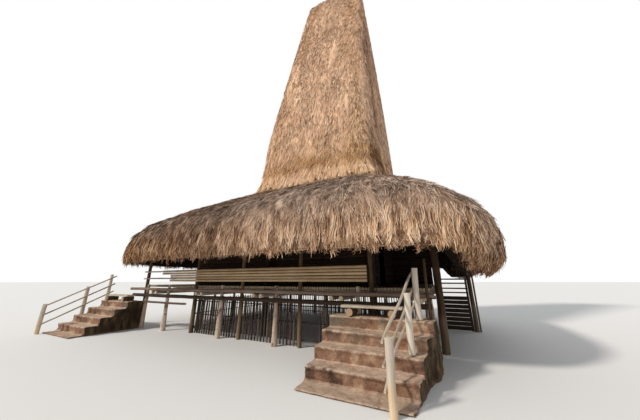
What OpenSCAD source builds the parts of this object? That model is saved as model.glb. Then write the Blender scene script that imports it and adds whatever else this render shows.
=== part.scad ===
// Stilt house with a tall peaked thatch tower over a low round-cornered thatch skirt.
// House axes: the tower axis is at x 0 and y 0, -y is the front, and +x is the right.
// place() moves the finished house so that its outline is centred on the origin.

/* [Tower] */
// Half width of the tower at its seat
tower_w = 1940; // [1700:10:2150]
// Half depth of the tower at its seat
tower_d = 2480; // [2200:10:2700]
// Half width of the tower at the ridge
ridge_w = 1325; // [1000:5:1500]
// Half depth of the tower at the ridge
ridge_d = 330; // [280:5:420]
// Height of the ridge line
ridge_z = 15180; // [13000:20:16000]
// Outward belly of the tower faces half way up
tower_belly = 60; // [0:5:120]
// Outward flare of the hem over the skirt
hem_flare = 130; // [60:5:180]
// Height of the hem
hem_h = 800; // [500:10:1100]
// Thickness of the tower thatch
tower_thatch = 220; // [180:5:260]
// Distance from the ridge down to the top of the tower's poles
pole_cut = 900; // [850:10:1000]
// Height of the hollow above the tower's poles
crown_gap = 380; // [350:10:420]
// Height of the rounded shoulder under the ridge
crown_h = 120; // [80:10:140]
// Radius of the straw roll along the ridge
roll_r = 190; // [140:5:240]

/* [Skirt roof] */
// Distance from the tower axis to the left eave
eave_left = 7160; // [6800:10:7400]
// Distance from the tower axis to the right eave
eave_right = 4400; // [4300:10:4600]
// Distance from the tower axis to the front and back eaves
eave_front = 4250; // [4150:10:4500]
// Squareness of the eave outline, where 2 is an ellipse
eave_power = 4.4; // [4:0.1:5]
// Height of the hanging lower edge
eave_z = 2050; // [1950:10:2200]
// Height of the outermost bulge above the lower edge
bulge_h = 320; // [250:10:400]
// Height of the shoulder above the lower edge
shoulder_h = 870; // [820:10:950]
// Height of the middle of the slope above the lower edge
slope_h = 1520; // [1430:10:1580]
// Height of the skirt's top edge above the lower edge
skirt_h = 2230; // [2150:10:2400]
// Thickness of the hanging edge
lip_t = 260; // [200:10:320]
// Distance from the eave to the foot of the rafters
foot_in = 430; // [400:5:480]
// Height of the rafter feet above the lower edge
foot_h = 700; // [640:10:740]
// How much lower the eave hangs at the two corners of the right end
eave_dip = 440; // [0:10:460]
// Share of that drop left in the middle of the right end
mid_dip = 0.45; // [0.3:0.05:1]
// Angle of the two low corners, seen from the tower axis
dip_at = 37; // [33:1:40]
// Angle beyond them over which the eave comes back up
dip_reach = 22; // [18:1:26]
// How far the skirt's slope hangs below a straight line
skirt_sag = 40; // [10:5:60]
// Thickness of the skirt thatch at the tower
skirt_t = 280; // [240:5:330]

/* [Roof frame] */
// Radius of a rafter
rafter_r = 35; // [25:1:45]
// Radius of a tower corner pole
tower_pole_r = 45; // [35:1:55]
// Radius of the ridge pole
ridge_pole_r = 60; // [45:1:70]
// Width of the ring beam under the tower
ring_w = 340; // [320:5:370]
// Height of the ring beam under the tower
ring_h = 240; // [180:5:260]
// Width of the hoop under the rafter feet
hoop_w = 90; // [70:5:110]
// Height of the hoop under the rafter feet
hoop_h = 80; // [60:5:100]
// Radius of a main post
main_post_r = 95; // [80:1:100]
// Radius of a verandah post
post_r = 55; // [45:1:60]
// Radius of the posts at the right corners
right_post_r = 90; // [80:1:92]
// Radius of the post under the right eave
eave_post_r = 70; // [55:1:75]
// Radius of the thin prop beside that post
prop_r = 28; // [22:1:32]
// Height of that prop
prop_h = 1950; // [1800:10:1980]
// Radius of a plate log
plate_r = 50; // [40:1:55]
// Height of the plate logs' axis
plate_z = 2550; // [2480:5:2570]

/* [Floor] */
// Distance from the tower axis to the left edge of the floor
floor_left = 6600; // [6500:10:6700]
// Distance from the tower axis to the right edge of the floor
floor_right = 2950; // [2900:5:2970]
// Distance from the tower axis to the front edge of the floor
floor_front = 2600; // [2500:10:2620]
// Distance from the tower axis to the front pole
pole_front = 3100; // [3050:5:3140]
// Radius of the front pole and the bearers
bearer_r = 48; // [40:1:55]
// Radius of a floor bamboo
culm_r = 36; // [28:1:40]
// Height of the floor beams' axis
beam_z = 1035; // [1000:5:1060]
// Radius of a floor beam
beam_r = 55; // [45:1:60]
// Radius of a joist log
joist_r = 50; // [42:1:55]
// How far a log's end runs past the log it lies on
log_end = 60; // [50:1:70]
// Radius of the low tie poles
low_r = 36; // [28:1:40]
// Height of the low tie poles
low_z = 830; // [780:5:860]
// Distance between the joist pairs
joist_pitch = 2150; // [2100:10:2200]
// Distance between the two joists of a pair
joist_pair = 230; // [200:5:260]
// Radius of a stilt at the ground
stilt_foot_r = 85; // [70:1:90]
// Radius of a stilt at its head
stilt_head_r = 45; // [38:1:50]
// Height of the stilt heads
stilt_h = 1380; // [1350:5:1400]
// Distance from the tower axis to the front stilts
stilt_front = 2900; // [2880:5:2910]

/* [Walls and rails] */
// Distance from the tower axis to the front verandah posts
post_front = 2750; // [2740:5:2760]
// Radius of a parapet bamboo
parapet_r = 37; // [32:1:38]
// Height of the lowest parapet bamboo's axis
parapet_z = 1510; // [1480:5:1530]
// Bamboos in the parapet
parapet_n = 5; // [4:1:5]
// Left end of the parapet
parapet_left = -5050; // [-5200:10:-4900]
// Left edge of the gap in the front slats of the pen
pen_gap_x = 20; // [-100:10:300]
// Width of that gap
pen_gap_w = 340; // [200:10:500]
// Extra length of the two top bamboos at the left
parapet_step = 450; // [300:10:500]
// Radius of a wall slat
slat_r = 22; // [16:1:26]
// Distance between wall slats
slat_pitch = 100; // [80:5:120]
// Left side of the slatted pen under the floor
pen_left = -3980; // [-4100:10:-3900]
// Right side of the slatted pen under the floor
pen_right = 1980; // [1900:10:2000]
// Right end of the back wall, past the room
back_wall_right = 2850; // [2700:10:2900]
// Height of the side screen
screen_h = 1600; // [1500:10:1700]
// Height of the closed part of the side screen
screen_solid = 1020; // [960:10:1060]
// Boards in the closed part of the side screen
boards = 8; // [7:1:9]
// Thickness of the room walls
wall_t = 40; // [30:1:50]
// Height of the room walls
wall_h = 1560; // [1400:10:1600]
// Left side of the room
room_left = -4900; // [-5000:10:-4800]
// Right side of the room
room_right = 1450; // [1400:10:1480]
// Gap between the main posts and the front wall of the room
room_clear = 98; // [40:1:150]
// Width of the doorway in the room's right wall
door_w = 900; // [750:10:1000]
// Height of the doorway
door_h = 1300; // [1200:10:1340]

/* [Stairs] */
// Left edge of the right stair
stair_right_x = 1034; // [1000:2:1080]
// Width of the right stair
stair_right_w = 1730; // [1650:10:1760]
// Left edge of the left stair
stair_left_x = -7793; // [-7850:1:-7700]
// Width of the left stair
stair_left_w = 1736; // [1650:2:1800]
// Distance from the tower axis to the first riser
stair_front = 4745; // [4700:5:4760]
// Height of the partly buried first step
first_rise = 40; // [30:1:70]
// Height of each other step
rise = 203; // [195:1:210]
// Depth of a tread
tread = 321; // [300:1:330]
// Thickness of the nosing on each tread
nosing_t = 45; // [30:1:60]
// Overhang of the nosing
nosing_out = 16; // [8:1:25]
// Radius of the logs that lie on the landing
step_log_r = 72; // [60:1:78]
// Thickness of the plank step
plank_t = 50; // [35:1:55]
// Depth of the plank step
plank_d = 260; // [220:5:300]
// Distance from the stair's edge to the plank's end
plank_in = 260; // [240:5:300]
// Distance from the plank's end to the log under it
log_in = 180; // [120:5:220]
// Radius of a handrail post
rail_post_r = 50; // [40:1:60]
// Distance from the right stair's outer edge to its first handrail post
rail_in_right = 304; // [304:1:320]
// Distance from the left stair's outer edge to its first handrail post
rail_in_left = 70; // [60:1:90]
// Radius of the thin pole at the head of the right handrail
end_pole_r = 30; // [22:1:34]
// Height of that thin pole
end_pole_h = 1900; // [1800:10:2000]
// Distance from the right stair's side to that thin pole
end_pole_gap = 86; // [70:2:90]
// Radius of a handrail pole
rail_r = 25; // [18:1:30]
// Height of a handrail post above its foot
rail_h = 830; // [750:5:900]

/* [Hidden] */
$fn = 32;
gap = 0.3;
steps_n = 5;
foot_cut = 12;
hem_gap = 20;
hem_lip = 30;
roll_in = 80;
low_gap = 25;
cut_over = 10;
bay_rail_up = 60;
bay_rail_out = 120;
bay_rail_lap = 300;
slat_rail_h = 36;
board_gap = 8;
board_t = 24;
board_lift = 20;
screen_gap = 40;
screen_rail_h = 44;
screen_leg_w = 60;
screen_leg_t = 40;
nose_round = 6;
log_over = 30;
plank_in_right = 320;
plank_in_left = 160;
rail_off = 55;
rail_step = 110;
rail_pitch = 260;
rail_head = 60;
rail_tail = 120;
rail_tip = 30;
post_head = 40;
rail_end_drop = 20;
landing = stair_front - (steps_n - 1) * tread - stilt_front - stilt_foot_r - gap;
around = 72;
skirt_mid_x = (eave_right - eave_left) / 2;
skirt_a = (eave_right + eave_left) / 2;
tower_power = 7;
bulge_s = 1.015;
shoulder_s = 0.975;
slope_s = 0.647;
skirt_top = eave_z + skirt_h;
foot_z = eave_z + foot_h;
seat_z = skirt_top - skirt_t;
ring_z = seat_z - ring_h;
hem_z = skirt_top + hem_gap;
tower_pole_top = ridge_z - pole_cut;
beam_top = beam_z + beam_r;
joist_z = beam_top + gap + joist_r;
bearer_z = joist_z + joist_r + gap + bearer_r;
culm_z = bearer_z + bearer_r + gap + culm_r;
floor_top = culm_z + culm_r;
post_top = plate_z - plate_r - gap;
main_post_at = outline(45, tower_w - ring_w / 2, tower_d - ring_w / 2, tower_power);
room_front = main_post_at[1] - main_post_r - room_clear;
room_back = room_front;
stair_n_top = first_rise + (steps_n - 1) * rise;
stilt_beam_r = stilt_foot_r + (stilt_head_r - stilt_foot_r) * beam_z / stilt_h;
beam_front = stilt_front + stilt_beam_r + beam_r + gap;
parapet_front_y = post_front + post_r + parapet_r + gap;
slat_front_y = post_front - post_r - slat_r * cos(22.5) - gap;
slat_h = beam_z - beam_r - gap;
front_slats = floor((pen_right - pen_left - 2 * slat_r) / slat_pitch);
post_xs = [-3850, -1950, -50, 1740];
stilt_xs = [-6100, -4950, -2550, -650, 1480, 2650];
joist_mid = -1100;
joist_ids = [-2, -1, 0, 1, 1.74];
corner_post_y = 2850;
right_post = [3040, 1800];
eave_post_y = 1200;
rail_front = stair_front + rail_post_r + rail_off;
rail_mid_y = stair_front - 2 * tread - tread / 2;
rail_back_y = stair_front - (steps_n - 1) * tread - rail_step;
rail_skew = 0.167;
end_pole_x = stair_right_x + stair_right_w + end_pole_gap + end_pole_r;
x_min = stair_left_x;
x_max = eave_right + (bulge_s - 1) * (eave_right - tower_w);
y_min = -rail_front - rail_post_r;
y_max = eave_front + (bulge_s - 1) * (eave_front - tower_d);
mid_x = (x_min + x_max) / 2;
mid_y = (y_min + y_max) / 2;

thatch_tan = [0.72, 0.54, 0.38];
thatch_grey = [0.55, 0.44, 0.33];
bamboo_gold = [0.70, 0.56, 0.33];
pole_grey = [0.66, 0.60, 0.50];
wood_dark = [0.26, 0.16, 0.11];
slat_grey = [0.36, 0.31, 0.27];
concrete = [0.53, 0.42, 0.34];

// Point at angle t on a rounded rectangle with half sizes a and b
function outline(t, a, b, power) =
    let (k = pow(pow(abs(cos(t)), power) + pow(abs(sin(t)), power), -1 / power))
    [a * k * cos(t), b * k * sin(t)];
function angle(i) = 360 * i / around;
function unit(v) = v / norm(v);

// Ring of points at height z
function tower_ring(a, b, z) =
    [for (i = [0:around - 1]) let (p = outline(angle(i), a, b, tower_power)) [p[0], p[1], z]];
function seat_point(i) = outline(angle(i), tower_w + gap, tower_d + gap, tower_power);
function eave_point(i, inset) =
    let (p = outline(angle(i), skirt_a - inset, eave_front - inset, eave_power))
    [p[0] + skirt_mid_x, p[1]];
// Drop of the eave at point i, largest at the two corners of the right end
function eave_drop(i) =
    let (t = min(angle(i), 360 - angle(i)))
    t < dip_at ? eave_dip * (mid_dip + (1 - mid_dip) * pow(cos(90 * (dip_at - t) / dip_at), 2)) :
    t < dip_at + dip_reach ? eave_dip * pow(cos(90 * (t - dip_at) / dip_reach), 2) : 0;
function skirt_ring(s, inset, z, share = 0) =
    [for (i = [0:around - 1])
        let (p = seat_point(i), q = eave_point(i, inset), r = p + s * (q - p))
        [r[0], r[1], z - share * eave_drop(i)]];

// Closed band of faces through a loop of rings
function band_faces(rings) =
    [for (k = [0:rings - 1], i = [0:around - 1])
        let (a = k * around + i, b = k * around + (i + 1) % around,
            c = ((k + 1) % rings) * around + (i + 1) % around, d = ((k + 1) % rings) * around + i)
        each [[a, c, b], [a, d, c]]];

module ring_shell(rings) {
    polyhedron(points = [for (r = rings) each r], faces = band_faces(len(rings)));
}

// Closed cover of the tower: outer and inner rings joined at the bottom, each with a cap on top
module capped_shell(outer, inner, outer_cap, inner_cap) {
    n = len(outer);
    m = len(inner);
    rings = concat([for (k = [n - 1:-1:0]) outer[k]], inner);
    total = (n + m) * around;
    walls = [for (k = [0:n + m - 2], i = [0:around - 1])
        let (a = k * around + i, b = k * around + (i + 1) % around, c = b + around, d = a + around)
        each [[a, b, c], [a, c, d]]];
    caps = [for (i = [0:around - 1]) let (j = (i + 1) % around)
        each [[j, i, total], [total - around + i, total - around + j, total + 1]]];
    polyhedron(points = concat([for (r = rings) each r], [outer_cap, inner_cap]),
        faces = concat(walls, caps));
}

module place() {
    translate([-mid_x, -mid_y, 0])
        children();
}

module log_between(a, b, r) {
    v = b - a;
    translate(a)
        rotate([0, acos(v[2] / norm(v)), atan2(v[1], v[0])])
            cylinder(h = norm(v), r = r);
}

module post(x, y, r, z0, z1) {
    translate([x, y, z0])
        cylinder(h = z1 - z0, r = r);
}

// Half sizes of the tower at height z above its seat
function tower_k(z) = (z - seat_z) / (ridge_z - seat_z);
function tower_a(z) =
    tower_w + (ridge_w - tower_w) * tower_k(z) + tower_belly * sin(180 * tower_k(z));
function tower_b(z) =
    tower_d + (ridge_d - tower_d) * tower_k(z) + tower_belly * sin(180 * tower_k(z));
function tower_outer(z, extra) = tower_ring(tower_a(z) + extra, tower_b(z) + extra, z);
function tower_inner(z) =
    tower_ring(tower_a(z) - tower_thatch, tower_b(z) - tower_thatch, z);

module tower_thatch() {
    levels = 8;
    top_in = tower_pole_top + crown_gap;
    flare_z = hem_z + hem_lip;
    body_z = flare_z + hem_h;
    color(thatch_tan)
        place()
            capped_shell(
                concat(
                    [tower_ring(tower_w, tower_d, seat_z), tower_ring(tower_w, tower_d, hem_z),
                        tower_outer(flare_z, hem_flare)],
                    [for (u = [0.25:0.25:1]) tower_outer(flare_z + u * hem_h, hem_flare * pow(1 - u, 2))],
                    [for (k = [1:levels]) tower_outer(body_z + k / levels * (ridge_z - crown_h - body_z), 0)],
                    [tower_outer(ridge_z - crown_h / 3, -crown_h / 3),
                        tower_ring(ridge_w - crown_h, ridge_d - crown_h, ridge_z)]),
                concat(
                    [tower_ring(tower_w - tower_thatch, tower_d - tower_thatch, seat_z),
                        tower_ring(tower_w - tower_thatch, tower_d - tower_thatch, hem_z)],
                    [for (k = [1:5]) tower_inner(hem_z + k / 5 * (top_in - hem_z))]),
                [0, 0, ridge_z], [0, 0, top_in]);
}

module skirt_thatch() {
    color(thatch_grey)
        place()
            ring_shell([
                skirt_ring(1, 0, eave_z, 1),
                skirt_ring(bulge_s, 0, eave_z + bulge_h / 2, 1),
                skirt_ring(bulge_s, 0, eave_z + bulge_h, 0.9),
                skirt_ring((bulge_s + shoulder_s) / 2 + 0.008, 0, eave_z + (bulge_h + shoulder_h) / 2, 0.7),
                skirt_ring(shoulder_s, 0, eave_z + shoulder_h, 0.5),
                skirt_ring(0.88, 0, eave_z + (shoulder_h + slope_h) / 2 - skirt_sag, 0.3),
                skirt_ring(slope_s, 0, eave_z + slope_h, 0.1),
                skirt_ring(slope_s / 2, 0, eave_z + (slope_h + skirt_h) / 2 + skirt_sag / 4),
                skirt_ring(0.06, 0, skirt_top - 1.75 * skirt_sag),
                skirt_ring(0, 0, skirt_top),
                skirt_ring(0, 0, seat_z),
                skirt_ring(1, foot_in, foot_z),
                skirt_ring(1, lip_t + (foot_in - lip_t) / 3, eave_z + foot_h / 3, 0.67),
                skirt_ring(1, lip_t, eave_z, 1)]);
}

module ridge_roll() {
    length = 2 * (ridge_w - roll_in);
    color(thatch_tan)
        place()
            difference() {
                translate([-length / 2, 0, ridge_z])
                    rotate([0, 90, 0])
                        union() {
                            cylinder(h = length, r = roll_r);
                            for (x = [0, length])
                                translate([0, 0, x])
                                    sphere(r = roll_r);
                        }
                translate([-ridge_w * 2, -ridge_d * 2, ridge_z - 2 * roll_r + gap])
                    cube([ridge_w * 4, ridge_d * 4, 2 * roll_r]);
            }
}

// Corner of the tower's hollow at height z, drawn in by the pole's radius
function pole_point(sx, sy, z) =
    let (p = outline(45, tower_a(z) - tower_thatch, tower_b(z) - tower_thatch, tower_power))
    [sx * (p[0] - tower_pole_r * 1.5), sy * (p[1] - tower_pole_r * 1.5), z];

// Height taken up by the lean of a corner pole's flat end
pole_run = pole_point(1, 1, tower_pole_top) - pole_point(1, 1, seat_z);
pole_rise = tower_pole_r * norm([pole_run[0], pole_run[1]]) / norm(pole_run);

module tower_poles() {
    color(wood_dark)
        place()
            for (sx = [-1, 1], sy = [-1, 1])
                log_between(pole_point(sx, sy, seat_z + gap + pole_rise),
                    pole_point(sx, sy, tower_pole_top - pole_rise), tower_pole_r);
}

module ridge_frame() {
    p = pole_point(1, 1, tower_pole_top);
    tie_z = tower_pole_top + gap + tower_pole_r;
    color(wood_dark)
        place() {
            for (sx = [-1, 1])
                log_between([sx * p[0], -p[1] - log_end, tie_z], [sx * p[0], p[1] + log_end, tie_z],
                    tower_pole_r);
            log_between([-p[0] - log_end, 0, tie_z + tower_pole_r + gap + ridge_pole_r],
                [p[0] + log_end, 0, tie_z + tower_pole_r + gap + ridge_pole_r], ridge_pole_r);
        }
}

module ring_beam() {
    color(wood_dark)
        place()
            translate([0, 0, ring_z])
                linear_extrude(ring_h - gap)
                    difference() {
                        polygon([for (i = [0:around - 1]) outline(angle(i), tower_w, tower_d, tower_power)]);
                        polygon([for (i = [0:around - 1])
                            outline(angle(i), tower_w - ring_w, tower_d - ring_w, tower_power)]);
                    }
}

// One rafter along point i of the skirt's underside, one radius below it
module rafter(i) {
    a = let (p = eave_point(i, foot_in)) [p[0], p[1], foot_z];
    a_back = let (p = eave_point(i - 1, foot_in)) [p[0], p[1], foot_z];
    b = let (p = seat_point(i)) [p[0], p[1], seat_z];
    b_next = let (p = seat_point(i + 1)) [p[0], p[1], seat_z];
    m = unit(b - a);
    n1 = unit(cross(m, b_next - b));
    n2 = unit(cross(m, a - a_back));
    n = unit(n1 + n2);
    s = n[2] > 0 ? -1 : 1;
    down = s * n * (rafter_r + gap) / (n * n1);
    cut = (2 * rafter_r + 3 * gap) * m[2] / norm([m[0], m[1]]) + 2 * gap;
    log_between(a + m * foot_cut + down, b - m * cut + down, rafter_r);
}

module rafters(first, last) {
    color(wood_dark)
        place()
            for (i = [first:3:last])
                rafter(i);
}

module rafters_front() {
    rafters(around * 3 / 4 - 9, around * 3 / 4 + 9);
}

module rafters_back() {
    rafters(around / 4 - 9, around / 4 + 9);
}

module rafters_left() {
    rafters(around / 2 - 6, around / 2 + 6);
}

module rafters_right() {
    rafters(around - 6, around + 6);
}

hoop_in = foot_in + hoop_w / 2 - 5;
left_slope = unit([eave_left - foot_in - tower_w, seat_z - foot_z]);
hoop_top = foot_z + foot_cut * left_slope[1] - (2 * rafter_r + gap) * left_slope[0] - gap;

module eave_hoop() {
    color(wood_dark)
        place()
            translate([0, 0, hoop_top - hoop_h])
                linear_extrude(hoop_h)
                    difference() {
                        polygon([for (i = [0:around - 1]) eave_point(i, hoop_in - hoop_w / 2)]);
                        polygon([for (i = [0:around - 1]) eave_point(i, hoop_in + hoop_w / 2)]);
                    }
}

module main_posts() {
    color(wood_dark)
        place()
            for (sx = [-1, 1], sy = [-1, 1])
                post(sx * main_post_at[0], sy * main_post_at[1], main_post_r, 0, ring_z - gap);
}

module verandah_posts(side) {
    color(wood_dark)
        place()
            for (x = post_xs)
                post(x, side * post_front, post_r, 0, post_top);
}

module front_posts() {
    verandah_posts(-1);
}

module back_posts() {
    verandah_posts(1);
}

// Point of the hoop's middle line at depth y, on the left (-1) or right (1) side
function hoop_x(side, y) =
    skirt_mid_x + side * (skirt_a - hoop_in)
        * pow(1 - pow(abs(y) / (eave_front - hoop_in), eave_power), 1 / eave_power);

module side_posts() {
    color(wood_dark)
        place() {
            for (sy = [-1, 1]) {
                post(hoop_x(-1, corner_post_y), sy * corner_post_y, post_r, 0,
                    hoop_top - hoop_h - gap);
                post(right_post[0], sy * right_post[1], right_post_r, 0, plate_z + plate_r);
            }
            post(hoop_x(1, eave_post_y), eave_post_y, eave_post_r, 0, hoop_top - hoop_h - gap);
            post(hoop_x(1, eave_post_y) + eave_post_r + prop_r + gap, eave_post_y, prop_r, 0, prop_h);
        }
}

module plates() {
    right_z = plate_z + 2 * plate_r + gap;
    reach = post_front + plate_r + log_end / 2;
    color(wood_dark)
        place() {
            for (sy = [-1, 1])
                log_between([post_xs[0] - 3 * log_end, sy * post_front, plate_z],
                    [right_post[0] + 2 * log_end, sy * post_front, plate_z], plate_r);
            log_between([right_post[0], -reach, right_z], [right_post[0], reach, right_z], plate_r);
        }
}

module stilt_row(y) {
    color(pole_grey)
        place()
            for (x = stilt_xs)
                translate([x, y, 0])
                    cylinder(h = stilt_h, r1 = stilt_foot_r, r2 = stilt_head_r);
}

module stilts_front() {
    stilt_row(-stilt_front);
}

module stilts_middle() {
    color(pole_grey)
        place()
            for (x = stilt_xs)
                translate([x, 0, 0])
                    cylinder(h = beam_z - beam_r - gap, r1 = stilt_foot_r, r2 = stilt_beam_r);
}

module stilts_back() {
    stilt_row(stilt_front);
}

module floor_beams() {
    color(wood_dark)
        place()
            for (y = [-beam_front, 0, beam_front])
                log_between([-floor_left - 2 * log_end, y, beam_z], [floor_right - log_end / 2, y, beam_z],
                    beam_r);
}

module floor_joists() {
    reach = beam_front + beam_r + log_end;
    color(pole_grey)
        place()
            for (k = joist_ids, side = [-0.5, 0.5])
                log_between([joist_mid + k * joist_pitch + side * joist_pair, -reach, joist_z],
                    [joist_mid + k * joist_pitch + side * joist_pair, reach, joist_z], joist_r);
}

// Low tie poles in front of and behind the stilts of the open bay
module low_poles() {
    y = stilt_front + stilt_foot_r + (stilt_head_r - stilt_foot_r) * low_z / stilt_h + low_r + gap;
    color(pole_grey)
        place()
            for (sy = [-1, 1])
                log_between([stair_left_x + stair_left_w + low_gap, sy * y, low_z],
                    [post_xs[0] - log_end, sy * y, low_z], low_r);
}

module bearer(y) {
    log_between([-floor_left - 2.5 * log_end, y, bearer_z],
        [floor_right + log_end / 2, y, bearer_z], bearer_r);
}

module front_pole() {
    color(pole_grey)
        place()
            bearer(-pole_front);
}

module floor_bearers() {
    color(pole_grey)
        place()
            for (y = [-pole_front / 2, 0, pole_front / 2, pole_front])
                bearer(y);
}

// Section of a row of touching bamboos
module culm_row(length) {
    n = floor(length / (2 * culm_r));
    sides = 6;
    bumps = [for (k = [0:n - 1], j = [0:sides]) let (t = 180 - 180 * j / sides)
        [culm_r * (2 * k + 1) + culm_r * 0.995 * cos(t), culm_r * max(0.12, sin(t))]];
    polygon(concat(bumps, [for (j = [len(bumps) - 1:-1:0]) [bumps[j][0], -bumps[j][1]]]));
}

module bamboo_floor() {
    color(bamboo_gold)
        place()
            difference() {
                translate([-floor_left, floor_front, culm_z])
                    rotate([90, 0, 0])
                        linear_extrude(2 * floor_front)
                            culm_row(floor_left + floor_right);
                for (sx = [-1, 1], sy = [-1, 1])
                    post(sx * main_post_at[0], sy * main_post_at[1], main_post_r + gap, 0, ring_z);
            }
}

module wall_panel(x0, y0, x1, y1) {
    translate([x0, y0, floor_top + gap])
        cube([x1 - x0, y1 - y0, wall_h]);
}

module wall_front() {
    color(wood_dark)
        place()
            wall_panel(room_left, -room_front, room_right, -room_front + wall_t);
}

module wall_back() {
    color(wood_dark)
        place()
            wall_panel(room_left, room_back - wall_t, back_wall_right, room_back);
}

module wall_left() {
    color(wood_dark)
        place()
            wall_panel(room_left, -room_front + wall_t + gap, room_left + wall_t, room_back - wall_t - gap);
}

module wall_right() {
    color(wood_dark)
        place()
            difference() {
                wall_panel(room_right - wall_t, -room_front + wall_t + gap, room_right,
                    room_back - wall_t - gap);
                translate([room_right - 2 * wall_t, -door_w / 2, floor_top - cut_over])
                    cube([3 * wall_t, door_w, door_h + cut_over]);
            }
}

module parapet(side) {
    color(bamboo_gold)
        place()
            for (k = [0:parapet_n - 1])
                let (z = parapet_z + k * (2 * parapet_r + gap), y = side * parapet_front_y)
                log_between([parapet_left - (k > parapet_n - 3 ? parapet_step : 0), y, z],
                    [post_xs[3] - post_r, y, z], parapet_r);
}

module parapet_front() {
    parapet(-1);
}

module parapet_back() {
    parapet(1);
}

// Two thin rails close the left bay at the front and at the back
module bay_rails() {
    r = rail_r;
    x = hoop_x(-1, corner_post_y);
    z_top = parapet_z + (parapet_n - 1) * 2 * parapet_r;
    y_post = corner_post_y + post_r + r + gap;
    y_par = parapet_front_y + parapet_r + r + gap;
    color(pole_grey)
        place()
            for (sy = [-1, 1], z = [parapet_z + bay_rail_up, z_top])
                log_between([x - bay_rail_out, sy * y_post, z],
                    [parapet_left + bay_rail_lap, sy * y_par, z], r);
}

// A run of upright slats joined by three rails behind them
module slat_run(length, n, open_from = 0, open_to = 0) {
    for (k = [0:n])
        if (k * length / n <= open_from || k * length / n >= open_to)
            translate([k * length / n, 0, 0])
                rotate([0, 0, 22.5])
                    cylinder(h = slat_h, r = slat_r, $fn = 8);
    for (z = [0.12, 0.52, 0.92])
        translate([-slat_r, slat_r * 0.4, z * slat_h])
            cube([length + 2 * slat_r, slat_r * 1.6, slat_rail_h]);
}

module slat_wall_front() {
    color(slat_grey)
        place()
            translate([pen_left + slat_r, -slat_front_y, 0])
                slat_run(pen_right - pen_left - 2 * slat_r, front_slats,
                    pen_gap_x - pen_left, pen_gap_x + pen_gap_w - pen_left);
}

module slat_wall_back() {
    color(slat_grey)
        place()
            translate([pen_right - slat_r, slat_front_y, 0])
                rotate([0, 0, 180])
                    slat_run(pen_right - pen_left - 2 * slat_r, front_slats);
}

module pen_side(x, turn) {
    reach = slat_front_y - 4 * slat_r;
    color(slat_grey)
        place()
            translate([x, -turn * reach, 0])
                rotate([0, 0, turn * 90])
                    slat_run(2 * reach, 2 * floor(reach / slat_pitch));
}

module slat_wall_left() {
    pen_side(pen_left + slat_r, -1);
}

module slat_wall_right() {
    pen_side(pen_right - slat_r, 1);
}

// Dark screen of level boards beside the pen, under the right of the roof
module side_screen() {
    x0 = floor_right + screen_gap;
    x1 = hoop_x(1, eave_post_y) - eave_post_r - gap;
    board_h = (screen_solid - board_lift) / boards - board_gap;
    rail_spots = [for (share = [0.16, 0.36, 0.61, 0.82]) screen_solid + share * (screen_h - screen_solid)];
    color(wood_dark)
        place()
            translate([x0, eave_post_y - screen_leg_t / 2, 0])
                union() {
                    for (k = [0:boards - 1])
                        translate([0, 0, board_lift + k * (board_h + board_gap)])
                            cube([x1 - x0, board_t, board_h]);
                    for (z = rail_spots)
                        translate([0, 0, z])
                            cube([x1 - x0, board_t, screen_rail_h]);
                    for (x = [0, x1 - x0 - screen_leg_w])
                        translate([x, board_t - board_gap / 2, 0])
                            cube([screen_leg_w, screen_leg_t, screen_h]);
                }
}

// Side outline of a flight: each tread ends in a nosing that stands out a little
module flight_outline() {
    back = (steps_n - 1) * tread + landing;
    polygon(concat(
        [for (i = [0:steps_n - 1])
            let (y = i * tread, z0 = i == 0 ? 0 : first_rise + (i - 1) * rise,
                z1 = first_rise + i * rise, t = min(nosing_t, (z1 - z0) / 2))
            each [[y, z0], [y, z1 - t], [y - nosing_out, z1 - t], [y - nosing_out, z1 - nose_round],
                [y - nosing_out + nose_round, z1]]],
        [[back, stair_n_top], [back, 0]]));
}

module flight(x, width) {
    color(concrete)
        place()
            translate([x, -stair_front, 0])
                rotate([90, 0, 90])
                    linear_extrude(width)
                        flight_outline();
}

module stair_right() {
    flight(stair_right_x, stair_right_w);
}

module stair_left() {
    flight(stair_left_x, stair_left_w);
}

log_back_y = -stair_front + (steps_n - 1) * tread + plank_d / 2 + 1;
plank_z = stair_n_top + 2 * step_log_r + 2 * gap;

module plank(x0, x1) {
    color(pole_grey)
        place()
            translate([x0, log_back_y - plank_d / 2, plank_z])
                cube([x1 - x0, plank_d, plank_t]);
}

module logs_under(xs) {
    reach = plank_d / 2 + log_over;
    color(pole_grey)
        place()
            for (x = xs)
                log_between([x, log_back_y - reach, stair_n_top + gap + step_log_r],
                    [x, log_back_y + reach, stair_n_top + gap + step_log_r], step_log_r);
}

plank_right = [stair_right_x + plank_in, stair_right_x + stair_right_w - plank_in_right];
plank_left = [stair_left_x + plank_in, stair_left_x + stair_left_w - plank_in_left];

module plank_steps() {
    plank(plank_right[0], plank_right[1]);
    plank(plank_left[0], plank_left[1]);
}

module step_logs() {
    logs_under([plank_right[0] + log_in, plank_right[1] - log_in]);
    logs_under([plank_left[0] + log_in, plank_left[1] - log_in]);
}

// Handrail posts stand on the ground, on the third tread and on the landing
rail_ys = [-rail_front, -rail_mid_y, -rail_back_y];
rail_feet = [0, first_rise + 2 * rise, stair_n_top];
function rail_x(x_front, skew, y) = x_front + skew * (y + rail_front);

module rail_posts(x_front, skew) {
    color(pole_grey)
        place()
            for (k = [0:2])
                post(rail_x(x_front, skew, rail_ys[k]), rail_ys[k], rail_post_r,
                    rail_feet[k] + (k == 0 ? 0 : gap), rail_feet[k] + rail_h + (k == 0 ? 0 : post_head));
}

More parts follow.
